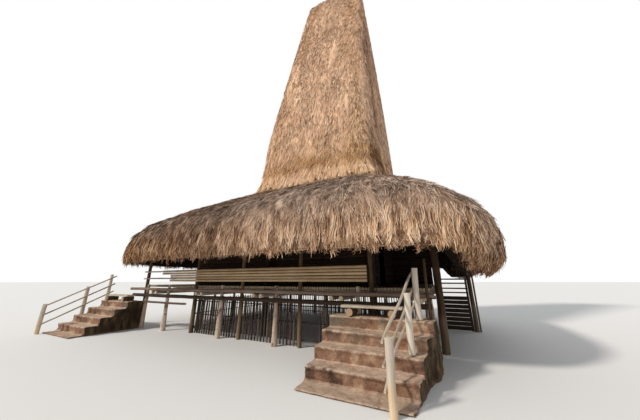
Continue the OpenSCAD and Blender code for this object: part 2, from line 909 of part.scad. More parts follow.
module rail_poles(x_front, skew, side) {
    off = side * (rail_post_r + rail_r + gap) * norm([1, skew]);
    z_front = rail_h - rail_head;
    z_back = rail_feet[2] + rail_h - rail_end_drop;
    y0 = rail_ys[0] - rail_tip;
    y1 = rail_ys[2] + rail_tail;
    color(pole_grey)
        place()
            for (k = [0:2])
                log_between([rail_x(x_front, skew, y0) + off, y0, z_front - k * rail_pitch],
                    [rail_x(x_front, skew, y1) + off, y1, z_back - k * rail_pitch], rail_r);
}

rail_right_x = stair_right_x + stair_right_w - rail_in_right;
rail_left_x = stair_left_x + rail_in_left;

module rail_posts_right() {
    rail_posts(rail_right_x, rail_skew);
    color(pole_grey)
        place()
            post(end_pole_x, -pole_front - bearer_r - end_pole_r - gap, end_pole_r, 0, end_pole_h);
}

module rails_right() {
    rail_poles(rail_right_x, rail_skew, -1);
}

module rail_posts_left() {
    rail_posts(rail_left_x, 0.02);
}

module rails_left() {
    rail_poles(rail_left_x, 0.02, 1);
}

tower_thatch();
skirt_thatch();
ridge_roll();
tower_poles();
ridge_frame();
ring_beam();
rafters_front();
rafters_back();
rafters_left();
rafters_right();
eave_hoop();
main_posts();
front_posts();
back_posts();
side_posts();
plates();
stilts_front();
stilts_middle();
stilts_back();
floor_beams();
floor_joists();
front_pole();
floor_bearers();
bamboo_floor();
wall_front();
wall_back();
wall_left();
wall_right();
parapet_front();
parapet_back();
bay_rails();
slat_wall_front();
slat_wall_back();
slat_wall_left();
slat_wall_right();
side_screen();
low_poles();
stair_right();
stair_left();
plank_steps();
step_logs();
rail_posts_right();
rails_right();
rail_posts_left();
rails_left();
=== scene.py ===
# Looks of the stilt house: thatch, bamboo, poles, stone stairs, light and camera
import math
import bpy
import numpy as np
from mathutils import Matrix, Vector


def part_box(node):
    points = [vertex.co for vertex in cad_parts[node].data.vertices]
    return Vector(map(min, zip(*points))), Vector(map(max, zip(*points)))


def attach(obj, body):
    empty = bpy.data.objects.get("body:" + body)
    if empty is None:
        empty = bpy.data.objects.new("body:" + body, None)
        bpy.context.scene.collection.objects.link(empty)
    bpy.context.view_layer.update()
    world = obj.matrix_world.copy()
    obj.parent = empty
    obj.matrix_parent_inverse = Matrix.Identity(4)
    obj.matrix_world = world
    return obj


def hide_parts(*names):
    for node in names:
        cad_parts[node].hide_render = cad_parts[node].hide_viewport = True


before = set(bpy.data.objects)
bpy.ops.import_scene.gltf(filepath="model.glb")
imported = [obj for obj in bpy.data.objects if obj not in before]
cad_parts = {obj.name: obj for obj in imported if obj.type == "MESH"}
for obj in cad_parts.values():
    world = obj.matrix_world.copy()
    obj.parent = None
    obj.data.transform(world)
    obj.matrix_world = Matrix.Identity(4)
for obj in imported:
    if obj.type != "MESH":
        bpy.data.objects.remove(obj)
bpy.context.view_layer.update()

rng = np.random.default_rng(11)

# Place of the tower axis in the row's frame, in metres
AXIS_X = 1.678
AXIS_Y = 0.3117

# Roof sizes, as in the solids, in metres from the tower axis
TOWER_W, TOWER_D = 1.94, 2.48
RIDGE_W, RIDGE_D, RIDGE_Z = 1.325, 0.33, 15.18
TOWER_POWER = 7
BELLY = 0.06
FLARE, HEM_H = 0.13, 0.8
TOWER_T = 0.22
CROWN_H = 0.12
HOLLOW_TOP = 0.52
COVER_IN = 0.03
# Heights and the distances there by which the tower's left side stands out
LEFT_Z = (4.0, 4.6, 5.2, 5.9, 6.6, 7.5, 8.5, 10.0, 12.0, 13.5, 15.2)
LEFT_OUT = (0.2, 0.22, 0.33, 0.4, 0.41, 0.36, 0.3, 0.23, 0.14, 0.08, 0.0)
EAVE_LEFT, EAVE_RIGHT, EAVE_FRONT = 7.16, 4.4, 4.25
EAVE_HALF, EAVE_SHIFT = (EAVE_LEFT + EAVE_RIGHT) / 2, (EAVE_RIGHT - EAVE_LEFT) / 2
EAVE_POWER = 4.4
EAVE_Z, SKIRT_H, SKIRT_T = 2.05, 2.23, 0.28
EAVE_DIP, MID_DIP, DIP_AT, DIP_REACH = 0.44, 0.45, math.radians(38.5), math.radians(10)
FOOT_IN, FOOT_H, LIP = 0.43, 0.7, 0.26
SEAT_Z = EAVE_Z + SKIRT_H - SKIRT_T
HEM_Z = EAVE_Z + SKIRT_H + 0.02

# Sizes of the floor, doorway, slats, rail posts and stairs, in metres
CULM_D = 0.072
DOOR_W, DOOR_H = 0.9, 1.3
SLAT_R, SLAT_PITCH = 0.022, 0.1
PEN_GAP = (AXIS_X + 0.02, AXIS_X + 0.36)
SLIM_POST = 0.04
STEPS, TREAD, RISE, FIRST_RISE = 5, 0.321, 0.203, 0.04

# The photograph's eye point from the tower axis, in metres, its tilt and its pan in degrees
EYE = (3.138, -8.156, 1.5)
EYE_TILT, EYE_PAN = 16.5, 26.06

# Half length of the studio floor, in metres
GROUND = 400


# Helpers


def smooth(t):
    """Smooth step from 0 to 1."""
    t = np.clip(t, 0, 1)
    return t * t * (3 - 2 * t)


def lattice(i, j, k, seed):
    """Random value from 0 to 1 for each point of a grid."""
    h = (i * 374761393 + j * 668265263 + k * 2147483647 + seed * 144665) & 0xFFFFFFFF
    h = ((h ^ (h >> 13)) * 1274126177) & 0xFFFFFFFF
    return ((h ^ (h >> 16)) & 0xFFFF) / 65535.0


def noise(p, freq, seed=0):
    """Value noise from -1 to 1 at points p, with one frequency or one for each axis."""
    q = np.asarray(p, float) * np.asarray(freq, float)
    base = np.floor(q).astype(np.int64)
    f = q - base
    f = f * f * (3 - 2 * f)
    total = 0
    for a in (0, 1):
        for b in (0, 1):
            for c in (0, 1):
                w = (f[..., 0] if a else 1 - f[..., 0]) * (f[..., 1] if b else 1 - f[..., 1])
                w = w * (f[..., 2] if c else 1 - f[..., 2])
                total = total + w * lattice(base[..., 0] + a, base[..., 1] + b, base[..., 2] + c, seed)
    return 2 * total - 1


def unit(v):
    return v / np.maximum(np.linalg.norm(v, axis=-1, keepdims=True), 1e-9)


def spread_out(k, step=0.618):
    """Value from 0 to 1 that differs well from one number to the next."""
    return (k * step) % 1


def corners(node):
    """Lowest and highest corner of a CAD node's box."""
    return [np.array(c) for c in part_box(node)]


def run_along(points):
    """Length run from the first of some points to each of them."""
    return np.append(0, np.cumsum(np.linalg.norm(np.diff(points, axis=0), axis=-1)))


def from_axis(x, y, z):
    """Points in the row's frame from distances to the tower axis."""
    return np.stack([x + AXIS_X, y + AXIS_Y, z], -1)


def closed(angles):
    """Angles round an outline, with the first one again at the end."""
    return np.append(angles, angles[0] + 2 * np.pi)


class Part:
    """Collects vertices, faces and per-vertex values for one piece."""

    def __init__(self):
        self.v, self.f, self.uv = [], [], []
        self.values = {"tone": [], "age": [], "warm": []}
        self.n = 0

    def add(self, verts, faces, uv, tone=0.5, age=0.0, warm=0.0):
        verts = np.asarray(verts, float).reshape(-1, 3)
        m = len(verts)
        for face in faces:
            face = np.asarray(face, int)
            if len(face):
                self.f.append(face + self.n)
        self.v.append(verts)
        self.uv.append(np.asarray(uv, float).reshape(-1, 2))
        for key, value in (("tone", tone), ("age", age), ("warm", warm)):
            self.values[key].append(np.broadcast_to(np.asarray(value, float), (m,)))
        self.n += m

    def build(self, name, material, nodes=(), shade=True):
        mesh = bpy.data.meshes.new(name)
        verts = np.concatenate(self.v)
        mesh.vertices.add(len(verts))
        mesh.vertices.foreach_set("co", verts.ravel())
        loops = np.concatenate([f.ravel() for f in self.f])
        sizes = np.concatenate([np.full(len(f), f.shape[1]) for f in self.f])
        starts = np.concatenate([[0], np.cumsum(sizes)[:-1]])
        mesh.loops.add(len(loops))
        mesh.loops.foreach_set("vertex_index", loops)
        mesh.polygons.add(len(sizes))
        mesh.polygons.foreach_set("loop_start", starts)
        mesh.polygons.foreach_set("use_smooth", np.full(len(sizes), shade))
        mesh.update(calc_edges=True)
        layer = mesh.uv_layers.new(name="UVMap")
        layer.data.foreach_set("uv", np.concatenate(self.uv)[loops].ravel())
        for key, values in self.values.items():
            att = mesh.attributes.new(key, "FLOAT", "POINT")
            att.data.foreach_set("value", np.concatenate(values))
        mesh.materials.append(material)
        place(name, mesh, nodes)


def add_object(name, data):
    obj = bpy.data.objects.new(name, data)
    bpy.context.scene.collection.objects.link(obj)
    return obj


def place(name, mesh, nodes=()):
    """Put a mesh in the scene on the only body, in place of the named nodes."""
    obj = add_object(name, mesh)
    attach(obj, "root")
    if nodes:
        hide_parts(*nodes)


def ring_faces(rows, cols):
    """Quads between rows of cols points each."""
    k = np.arange(rows - 1)[:, None]
    i = np.arange(cols - 1)[None, :]
    a = k * cols + i
    return np.stack([a, a + 1, a + 1 + cols, a + cols], -1).reshape(-1, 4)


def add_rings(part, rings, angles, along, step, tone, age, turned=False):
    """Surface through rings of points that share their angles."""
    rows, cols = len(rings), len(angles)
    faces = ring_faces(rows, cols)
    uv = np.stack([np.tile(angles * along, rows), np.repeat(np.arange(rows) * step, cols)], -1)
    part.add(np.stack(rings), [faces[:, ::-1] if turned else faces], uv, tone, age)


# Materials

class Shader:
    """A material and short names for the nodes that it uses."""

    def __init__(self, name):
        self.mat = bpy.data.materials.new(name)
        self.mat.use_nodes = True
        self.tree = self.mat.node_tree
        self.bsdf = self.tree.nodes["Principled BSDF"]

    def feed(self, node, inputs):
        """Link other nodes' outputs to a node's inputs, or set them to numbers, vectors or colours."""
        for key, value in inputs.items():
            socket = node.inputs[key]
            if isinstance(value, bpy.types.NodeSocket):
                self.tree.links.new(value, socket)
            else:
                socket.default_value = (*value, 1) if socket.type == "RGBA" else value

    def node(self, kind, inputs, **settings):
        n = self.tree.nodes.new(kind)
        for key, value in settings.items():
            setattr(n, key, value)
        self.feed(n, inputs)
        return n

    def noise(self, vector, scale, detail=4.0, rough=0.55, distort=0.0):
        inputs = {"Vector": vector, "Scale": scale, "Detail": detail, "Roughness": rough}
        return self.node("ShaderNodeTexNoise", {**inputs, "Distortion": distort}).outputs["Fac"]

    def stretch(self, source, scale):
        return self.node("ShaderNodeMapping", {"Vector": source, "Scale": scale}).outputs["Vector"]

    def ramp(self, fac, stops, colours):
        n = self.node("ShaderNodeValToRGB", {"Fac": fac})
        while len(n.color_ramp.elements) < len(stops):
            n.color_ramp.elements.new(0.5)
        for element, position, colour in zip(n.color_ramp.elements, stops, colours):
            element.position = position
            element.color = (*colour, 1)
        return n.outputs["Color"]

    def span(self, fac, low, high, to_low=0.0, to_high=1.0):
        inputs = {"Value": fac, "From Min": low, "From Max": high, "To Min": to_low, "To Max": to_high}
        return self.node("ShaderNodeMapRange", inputs).outputs["Result"]

    def mix(self, fac, a, b, how="MIX"):
        inputs = {0: fac, 6: a, 7: b}
        return self.node("ShaderNodeMix", inputs, data_type="RGBA", blend_type=how).outputs[2]

    def math(self, how, a, b):
        return self.node("ShaderNodeMath", {0: a, 1: b}, operation=how).outputs[0]

    def total(self, *terms):
        """Sum of values, each times its weight."""
        first, *others = [self.math("MULTIPLY", value, weight) for value, weight in terms]
        for other in others:
            first = self.math("ADD", first, other)
        return first

    def attribute(self, name):
        return self.node("ShaderNodeAttribute", {}, attribute_name=name).outputs["Fac"]

    def coords(self, kind="Object"):
        return self.node("ShaderNodeTexCoord", {}).outputs[kind]

    def axis(self, vector, index):
        return self.node("ShaderNodeSeparateXYZ", {0: vector}).outputs[index]

    def normal_axis(self, index):
        return self.axis(self.node("ShaderNodeNewGeometry", {}).outputs["Normal"], index)

    def bump(self, height, strength, distance):
        n = self.node("ShaderNodeBump", {"Height": height, "Strength": strength, "Distance": distance})
        self.feed(self.bsdf, {"Normal": n.outputs["Normal"]})

    def done(self, colour, rough, specular):
        self.feed(self.bsdf, {"Base Color": colour, "Roughness": rough, "Specular IOR Level": specular})
        return self.mat


# Places of the dark to light colours on a ramp
STRAW_STOPS = (0.18, 0.4, 0.6, 0.82)
WOOD_STOPS = (0.2, 0.42, 0.62, 0.85)


def thatch_material(name, fresh, old, warm, streak=(26, 1.6, 1), depth=0.03):
    """Straw: fresh, old and warm are colours from dark to light, mixed by the age and warm values."""
    s = Shader(name)
    uv = s.coords("UV")
    grain = s.noise(s.stretch(uv, streak), 1.0, 6.0, 0.65)
    fine = s.noise(s.stretch(uv, tuple(3.2 * c for c in streak)), 1.0, 3.0, 0.6)
    patch = s.noise(s.coords(), 0.9, 3.0, 0.6)
    patch = s.math("SUBTRACT", patch, 0.5)
    tone = s.total((s.attribute("tone"), 0.55), (grain, 0.28), (fine, 0.2), (patch, 0.15))
    fresh, old, warm = (s.ramp(tone, STRAW_STOPS, colours) for colours in (fresh, old, warm))
    colour = s.mix(s.attribute("age"), s.mix(s.attribute("warm"), fresh, warm), old)
    s.bump(s.math("ADD", grain, fine), 0.6, depth)
    return s.done(colour, 0.95, 0.12)


def wood_material(name, colours, grain=(5, 1.2, 1), bump=0.35, rough=0.8, cut=(0.62, 0.5, 0.36),
                  spots=None, foot=None):
    """Pole or board wood; cut colours sawn ends, where age is 1, and spots colours its blots.

    foot is a height in metres and the lightest colour below it.
    """
    s = Shader(name)
    uv = s.coords("UV")
    streaks = s.noise(s.stretch(uv, grain), 1.0, 8.0, 0.7, 0.6)
    cracks = s.noise(s.stretch(uv, (grain[0] * 5, grain[1] * 0.7, 1)), 1.0, 3.0, 0.5)
    patch = s.noise(s.coords(), 2.3, 3.0, 0.6)
    tone = s.total((s.attribute("tone"), 0.5), (streaks, 0.55), (s.math("SUBTRACT", patch, 0.5), 0.35))
    colour = s.ramp(tone, WOOD_STOPS, colours)
    dark = s.span(cracks, 0.3, 0.42, 0.55, 1.0)
    colour = s.mix(1.0, colour, s.mix(dark, (0.35, 0.28, 0.22), (1.0, 1.0, 1.0)), "MULTIPLY")
    if spots:
        blot = s.span(s.noise(s.coords(), 5.0, 4.0, 0.6), 0.56, 0.66)
        colour = s.mix(blot, colour, spots)
    if foot:
        height, foot_colour = foot
        ragged = s.math("ADD", s.axis(s.coords(), 2), s.math("MULTIPLY", patch, 0.1))
        below = s.span(ragged, height, height + 0.12, 0.8, 0.0)
        colour = s.mix(below, colour, s.mix(tone, (0.0, 0.0, 0.0), foot_colour))
    colour = s.mix(s.attribute("age"), colour, cut)
    s.bump(s.math("ADD", streaks, s.math("MULTIPLY", cracks, 0.8)), bump, 0.012)
    return s.done(colour, rough, 0.25)


# Colours of the stone's risers and sides, from dark to light
RISER = [(0.06, 0.036, 0.026), (0.18, 0.095, 0.062), (0.31, 0.18, 0.115), (0.52, 0.37, 0.255)]
FLANK = [(0.02, 0.013, 0.008), (0.062, 0.041, 0.022), (0.16, 0.11, 0.058)]


def stone_material():
    """Plastered rubble: red-brown risers, mossy higher up, pale worn edges, dark sides."""
    s = Shader("rubble_stone")
    obj = s.coords()
    big = s.noise(obj, 1.7, 5.0, 0.6, 0.3)
    mid = s.noise(obj, 7.0, 8.0, 0.7)
    fine = s.noise(obj, 42.0, 6.0, 0.7)
    base = s.ramp(s.total((big, 0.55), (mid, 0.45)), (0.38, 0.46, 0.54, 0.63), RISER)
    moss = s.span(s.noise(obj, 2.3, 5.0, 0.65), 0.46, 0.6)
    high = s.span(s.axis(obj, 2), 0.3, 0.72)
    base = s.mix(s.math("MULTIPLY", moss, s.math("MULTIPLY", high, 0.8)), base, (0.15, 0.14, 0.098))
    rust = s.span(s.noise(obj, 3.4, 4.0, 0.6, 0.4), 0.6, 0.68, 0.0, 0.7)
    base = s.mix(rust, base, (0.33, 0.13, 0.07))
    strokes = s.noise(s.stretch(obj, (9, 9, 2.2)), 1.0, 5.0, 0.65)
    flank = s.ramp(strokes, (0.38, 0.52, 0.66), FLANK)
    sideways = s.span(s.math("ABSOLUTE", s.normal_axis(0), 0.0), 0.55, 0.85, 0.0, 0.93)
    base = s.mix(sideways, base, flank)
    top = s.span(s.normal_axis(2), 0.45, 0.9)
    worn = s.math("MULTIPLY", top, s.span(mid, 0.34, 0.6, 0.35, 0.95))
    base = s.mix(worn, base, (0.59, 0.43, 0.315))
    edge = s.math("MULTIPLY", s.attribute("age"), s.span(mid, 0.4, 0.58, 0.1, 0.9))
    base = s.mix(edge, base, (0.64, 0.49, 0.37))
    foot = s.span(s.axis(obj, 2), 0.0, 0.08, 0.35, 0.0)
    base = s.mix(foot, base, (0.3, 0.22, 0.155))
    grit = s.span(fine, 0.35, 0.65, 0.78, 1.15)
    speckled = s.node("ShaderNodeVectorMath", {0: base, "Scale": grit}, operation="SCALE")
    s.bump(s.math("ADD", s.math("MULTIPLY", fine, 0.4), mid), 0.7, 0.02)
    return s.done(speckled.outputs[0], 0.95, 0.15)


FRESH = [(0.18, 0.096, 0.055), (0.56, 0.345, 0.215), (0.86, 0.59, 0.4), (0.96, 0.74, 0.55)]
OLD = [(0.085, 0.056, 0.04), (0.23, 0.16, 0.118), (0.44, 0.325, 0.255), (0.72, 0.58, 0.475)]
WARM = [(0.2, 0.082, 0.03), (0.48, 0.25, 0.105), (0.78, 0.49, 0.25), (0.93, 0.69, 0.43)]
# Near-black straw colours: painted shade on the skirt's underside and in the tower's hollow
PAINTED_SHADE = [(0.012, 0.008, 0.006)] * 2 + [(0.03, 0.02, 0.013)] * 2
thatch = thatch_material("thatch", FRESH, OLD, WARM)
straw = thatch_material("straw", FRESH, OLD, WARM, (1, 1, 1), 0.004)
under = thatch_material("thatch_under", PAINTED_SHADE, PAINTED_SHADE, PAINTED_SHADE)
pole_wood = wood_material(
    "pole_wood",
    [(0.17, 0.125, 0.09), (0.36, 0.285, 0.215), (0.56, 0.475, 0.38), (0.74, 0.66, 0.55)])
rail_wood = wood_material(
    "rail_wood",
    [(0.19, 0.145, 0.105), (0.4, 0.325, 0.25), (0.6, 0.515, 0.42), (0.76, 0.68, 0.57)],
    foot=(0.33, (1.0, 0.74, 0.44)))
stilt_wood = wood_material(
    "stilt_wood",
    [(0.14, 0.095, 0.065), (0.35, 0.255, 0.185), (0.6, 0.47, 0.365), (0.8, 0.68, 0.56)],
    grain=(4, 5.0, 1), bump=0.5, spots=(0.19, 0.125, 0.085))
# Near-black wood for the main posts, plates and floor beams: painted shade under the roof
dark_wood = wood_material(
    "dark_wood",
    [(0.014, 0.008, 0.005), (0.036, 0.02, 0.012), (0.07, 0.041, 0.026), (0.13, 0.083, 0.054)],
    cut=(0.3, 0.2, 0.13))
brown_wood = wood_material(
    "brown_wood",
    [(0.04, 0.022, 0.015), (0.115, 0.07, 0.05), (0.23, 0.155, 0.115), (0.46, 0.36, 0.29)],
    cut=(0.56, 0.44, 0.32))
# Near-black wood for the walls, screen, rafters, frame, ring beam and hoop: painted shade under the roof
inner_wood_painted_shade = wood_material(
    "inner_wood_painted_shade",
    [(0.01, 0.006, 0.004), (0.024, 0.013, 0.008), (0.045, 0.024, 0.014), (0.085, 0.05, 0.03)],
    cut=(0.1, 0.06, 0.04))
post_wood = wood_material(
    "post_wood",
    [(0.022, 0.012, 0.006), (0.062, 0.034, 0.018), (0.125, 0.074, 0.04), (0.26, 0.175, 0.105)],
    grain=(4, 2.0, 1), bump=0.6, cut=(0.4, 0.27, 0.17), foot=(0.75, (0.34, 0.24, 0.14)))
slat_wood = wood_material(
    "slat_wood",
    [(0.02, 0.013, 0.009), (0.052, 0.036, 0.027), (0.115, 0.085, 0.068), (0.26, 0.21, 0.175)],
    cut=(0.42, 0.34, 0.25))
bamboo = wood_material(
    "bamboo",
    [(0.18, 0.1, 0.05), (0.43, 0.28, 0.15), (0.66, 0.48, 0.29), (0.83, 0.66, 0.45)],
    grain=(3, 0.7, 1), bump=0.15, rough=0.55, cut=(0.2, 0.13, 0.07))
# Dark bamboo for the floor: painted shade under the roof; the sawn ends keep a light cut colour
floor_bamboo_painted_shade = wood_material(
    "floor_bamboo_painted_shade",
    [(0.03, 0.018, 0.01), (0.08, 0.05, 0.027), (0.15, 0.098, 0.055), (0.26, 0.18, 0.11)],
    grain=(3, 0.7, 1), bump=0.15, rough=0.6, cut=(0.42, 0.32, 0.21))
stone = stone_material()


# Roof surfaces

def outline(t, a, b, power):
    """Rounded rectangle with half sides a and b; a higher power is squarer."""
    c, s = np.cos(t), np.sin(t)
    k = (np.abs(c) ** power + np.abs(s) ** power) ** (-1 / power)
    return a * k * c, b * k * s


def hem_flare(z):
    """Distance by which the tower's hem stands out at height z."""
    return FLARE * np.clip(1 - (z - HEM_Z - 0.03) / HEM_H, 0, 1) ** 2


def tower_point(t, z, out=0.0):
    """Point of the tower's face at angle t and height z, moved outwards by out."""
    k = (z - SEAT_Z) / (RIDGE_Z - SEAT_Z)
    belly = BELLY * np.sin(np.pi * np.clip(k, 0, 1))
    flare = hem_flare(z)
    a = TOWER_W + (RIDGE_W - TOWER_W) * k + belly + flare + out
    b = TOWER_D + (RIDGE_D - TOWER_D) * k + belly + flare + out
    x, y = outline(t, a, b, TOWER_POWER)
    x = x - np.interp(z, LEFT_Z, LEFT_OUT) * smooth((0.5 - np.cos(t)) / 1.1)
    return from_axis(x, y, z + 0 * x)


# Down the skirt's outer face: share of the way out, height, shares of the dip, row values, tuck
SKIRT_S = np.array([0.0, 0.06, 0.3235, 0.647, 0.88, 0.975, 1.003, 1.015, 1.015, 1.0])
SKIRT_Z = EAVE_Z + np.array([2.23, 2.16, 1.885, 1.52, 1.155, 0.87, 0.595, 0.32, 0.16, 0.0])
SKIRT_DIP = np.array([0.0, 0.0, 0.0, 0.1, 0.3, 0.5, 0.7, 0.9, 1.0, 1.0])
SKIRT_W = np.array([0.0, 0.05, 0.25, 0.5, 0.68, 0.77, 0.85, 0.92, 0.96, 1.0])
SKIRT_TUCK = np.array([0.0, 0.0, 0.0, 0.0, 0.0, 0.0, 0.0, 0.08, 0.3, 0.62])


def eave_drop(t):
    """Drop of the eave at angle t, largest at the two corners of the right end."""
    t = np.abs((t + np.pi) % (2 * np.pi) - np.pi)
    inner = MID_DIP + (1 - MID_DIP) * np.cos(np.clip(1 - t / DIP_AT, 0, 1) * np.pi / 2) ** 2
    outer = np.cos(np.clip((t - DIP_AT) / DIP_REACH, 0, 1) * np.pi / 2) ** 2
    return EAVE_DIP * np.where(t < DIP_AT, inner, outer)


def eave_outline(t, inset):
    """Outline of the eave from the tower axis, moved inwards by inset."""
    x, y = outline(t, EAVE_HALF - inset, EAVE_FRONT - inset, EAVE_POWER)
    return x + EAVE_SHIFT, y


def skirt_point(t, w):
    """Point of the skirt's outer face at angle t and share w of the way down."""
    s = np.interp(w, SKIRT_W, SKIRT_S)
    z = np.interp(w, SKIRT_W, SKIRT_Z) - np.interp(w, SKIRT_W, SKIRT_DIP) * eave_drop(t)
    tuck = np.interp(w, SKIRT_W, SKIRT_TUCK) * eave_drop(t)
    x0, y0 = outline(t, TOWER_W, TOWER_D, TOWER_POWER)
    x1, y1 = eave_outline(t, tuck)
    return from_axis(x0 + s * (x1 - x0), y0 + s * (y1 - y0), z + 0 * x0)


def skirt_age(p, t):
    """Grey on the upper slope, fresher near the eave and under the tower."""
    n = noise(p, 0.8, 5) * 0.22 + noise(p, 3, 6) * 0.15
    joint = 0.35 * smooth((p[..., 2] - 3.95) / 0.3)
    height = p[..., 2] + 0.6 * eave_drop(t)
    return np.clip(smooth((height - 2.2) / 1.15) * 0.85 + 0.06 - joint + n, 0, 1)


# Small hole in the thatch over the right front corner; its dark is painted shade on the straws
HOLE = skirt_point(math.radians(-41.5), 0.72)


def skirt_painted_light_and_streaks(p, t):
    """Painted shade: left, low right end, edge, hole; darker combed streaks; lighter bands, mostly
    painted light.
    """
    q = p @ np.array([[0.94, 0.0, 0.0], [0.34, 1.0, 0.0], [0.0, 0.0, 1.0]])
    streaks = smooth((noise(q, (3.4, 0.8, 0.8), 17) - 0.12) / 0.35) * smooth((p[..., 2] - 2.5) / 0.6)
    # Painted shadow of trees over the front left part
    left = smooth((AXIS_X + 0.2 - p[..., 0]) / 2.4) * smooth((AXIS_Y + 1.0 - p[..., 1]) / 2.0)
    hole = np.exp(-(np.linalg.norm(p - HOLE, axis=-1) / 0.07) ** 2)
    # Painted shade on the low right end and along the low edge
    end = smooth((np.cos(t) - 0.75) / 0.1) * smooth((2.9 - p[..., 2]) / 0.8)
    low = smooth((2.32 - 0.9 * eave_drop(t) - p[..., 2]) / 0.2)
    # Painted light on the upper right part
    right = smooth((p[..., 0] - AXIS_X - 2.6) / 1.0) * smooth((p[..., 2] - 2.4) / 0.5)
    height = p[..., 2] + 0.5 * eave_drop(t)
    # Painted light on a middle band; the top is only lighter
    middle = smooth((2.9 - height) / 0.22) * smooth((height - 2.26) / 0.18)
    top = smooth((height - 3.15) / 0.35)
    # Painted light at the joint with the tower
    joint = smooth((p[..., 2] - 4.0) / 0.2)
    dark = 0.24 * end + 0.18 * streaks + 0.48 * left + 0.8 * hole + 0.26 * low
    return dark - 0.12 * right - 0.26 * middle - 0.23 * top - 0.12 * joint


def skirt_warm(p, t):
    """Golden patches along the eave."""
    n = noise(p, (0.55, 0.55, 0.3), 12) * 0.5 + noise(p, (2.2, 2.2, 1), 13) * 0.3
    return np.clip(0.42 + n, 0, 1) * smooth((3.0 - p[..., 2]) / 0.5)


def tower_age_and_right_shade(p, t):
    """Patches of older straw, and a slightly greyer right face, which is painted shade."""
    # Grey on the right face: painted shade
    right = smooth((np.cos(t) - 0.62) / 0.15) * smooth((0.72 - np.abs(np.sin(t))) / 0.1)
    n = noise(p, (0.7, 0.7, 0.35), 8) * 0.12 + noise(p, (2.6, 2.6, 1.2), 9) * 0.1
    return np.clip(0.06 + n + 0.04 * right, 0, 1)


def tower_warm(p, t):
    """Golden corners and a ragged golden band over the skirt."""
    corner = smooth((np.abs(np.cos(t) * np.sin(t)) - 0.36) / 0.12)
    corner = corner * (1 - smooth((np.cos(t) - 0.69) / 0.04))
    level = HEM_Z + 0.75 + 0.18 * noise(p, (1.4, 1.4, 0), 14)
    band = np.exp(-((p[..., 2] - level) / 0.22) ** 2)
    low = smooth((HEM_Z + 2.6 - p[..., 2]) / 2.2)
    n = noise(p, (1.3, 1.3, 0.7), 15) * 0.3
    warm = 0.1 + 0.45 * corner * (0.6 + n) + 0.75 * band * (0.7 + n) + 0.3 * low + 0.3 * n
    return np.clip(warm, 0, 1)


def tower_shade(p, t):
    """Painted shadow in a ragged band over the hem, darker top; painted light on the right face, with
    dark patches.
    """
    right = smooth((np.cos(t) - 0.5) / 0.2) * smooth((0.8 - np.abs(np.sin(t))) / 0.15)
    height = p[..., 2] - HEM_Z
    level = 0.66 + 0.16 * noise(p, (1.6, 1.6, 0), 18)
    gaps = smooth((noise(p, (1.1, 1.1, 0), 22) + 0.3) / 0.5)
    # Painted shadow under the ragged edge of the upper thatch layer
    band = np.exp(-((height - level) / 0.11) ** 2) * gaps
    edge = smooth((np.cos(t) - 0.69) / 0.03) * smooth((0.93 - np.cos(t)) / 0.12)
    spot = smooth((noise(p, (1.4, 1.4, 0.7), 19) - 0.05) / 0.3) * smooth((9.0 - height) / 3.0) * edge
    foot = smooth((noise(p, (1.2, 1.2, 0.8), 23) + 0.35) / 0.5) * smooth((1.7 - height) / 0.8) * edge
    low = smooth((level - 0.12 - height) / 0.15)
    top = smooth((p[..., 2] - RIDGE_Z + 0.9) / 0.5)
    deep = smooth((5.0 - height) / 3.0)
    patches = 0.55 * np.maximum(spot, foot) + 0.14 * edge * smooth((10.0 - height) / 2.0)
    # The right face's lightening is painted light
    return 0.26 * band - 0.14 * low + patches - 0.26 * right + 0.22 * top - 0.05 * deep


def spaced_angles(count, a, b, power):
    """Angles that divide an outline into nearly equal lengths."""
    t = np.linspace(0, 2 * np.pi, 2881)
    x, y = outline(t, a, b, power)
    run = np.append(0, np.cumsum(np.hypot(np.diff(x), np.diff(y))))
    return np.interp(np.linspace(0, run[-1], count, endpoint=False), run, t)


def coat(part, point, angles, rows, depth, age, tuft, warm):
    """Outer thatch skin with tufts and courses raised along its normal."""
    tt, ww = np.meshgrid(closed(angles), rows)
    p = point(tt, ww)
    e = 1e-3
    side = point(tt + e, ww) - p
    down = point(tt, ww + e * (rows[-1] - rows[0])) - point(tt, ww - e * (rows[-1] - rows[0]))
    normal = unit(np.cross(down, side))
    run, fall = run_along(p[len(rows) // 2]), run_along(p[:, 0])
    uu, vv = np.meshgrid(run, fall)
    q = np.stack([uu, vv, 0 * uu], -1)
    lift = noise(q, (7, 1.6, 1), 1) * 0.5 + noise(q, (19, 3.5, 1), 2) * 0.35
    lift = lift + noise(q, (1.3, 0.6, 1), 3) * 0.7
    seam = smooth(np.minimum(tt - angles[0], angles[0] + 2 * np.pi - tt) / 0.08)
    lift = lift * seam * tuft
    p = p + normal * (lift + depth)[..., None]
    tone = 0.42 + 0.35 * noise(q, (5, 1.2, 1), 4)
    part.add(p, [ring_faces(len(rows), len(run))], np.stack([uu, vv], -1), tone.ravel(),
             age(p, tt).ravel(), warm(p, tt).ravel())


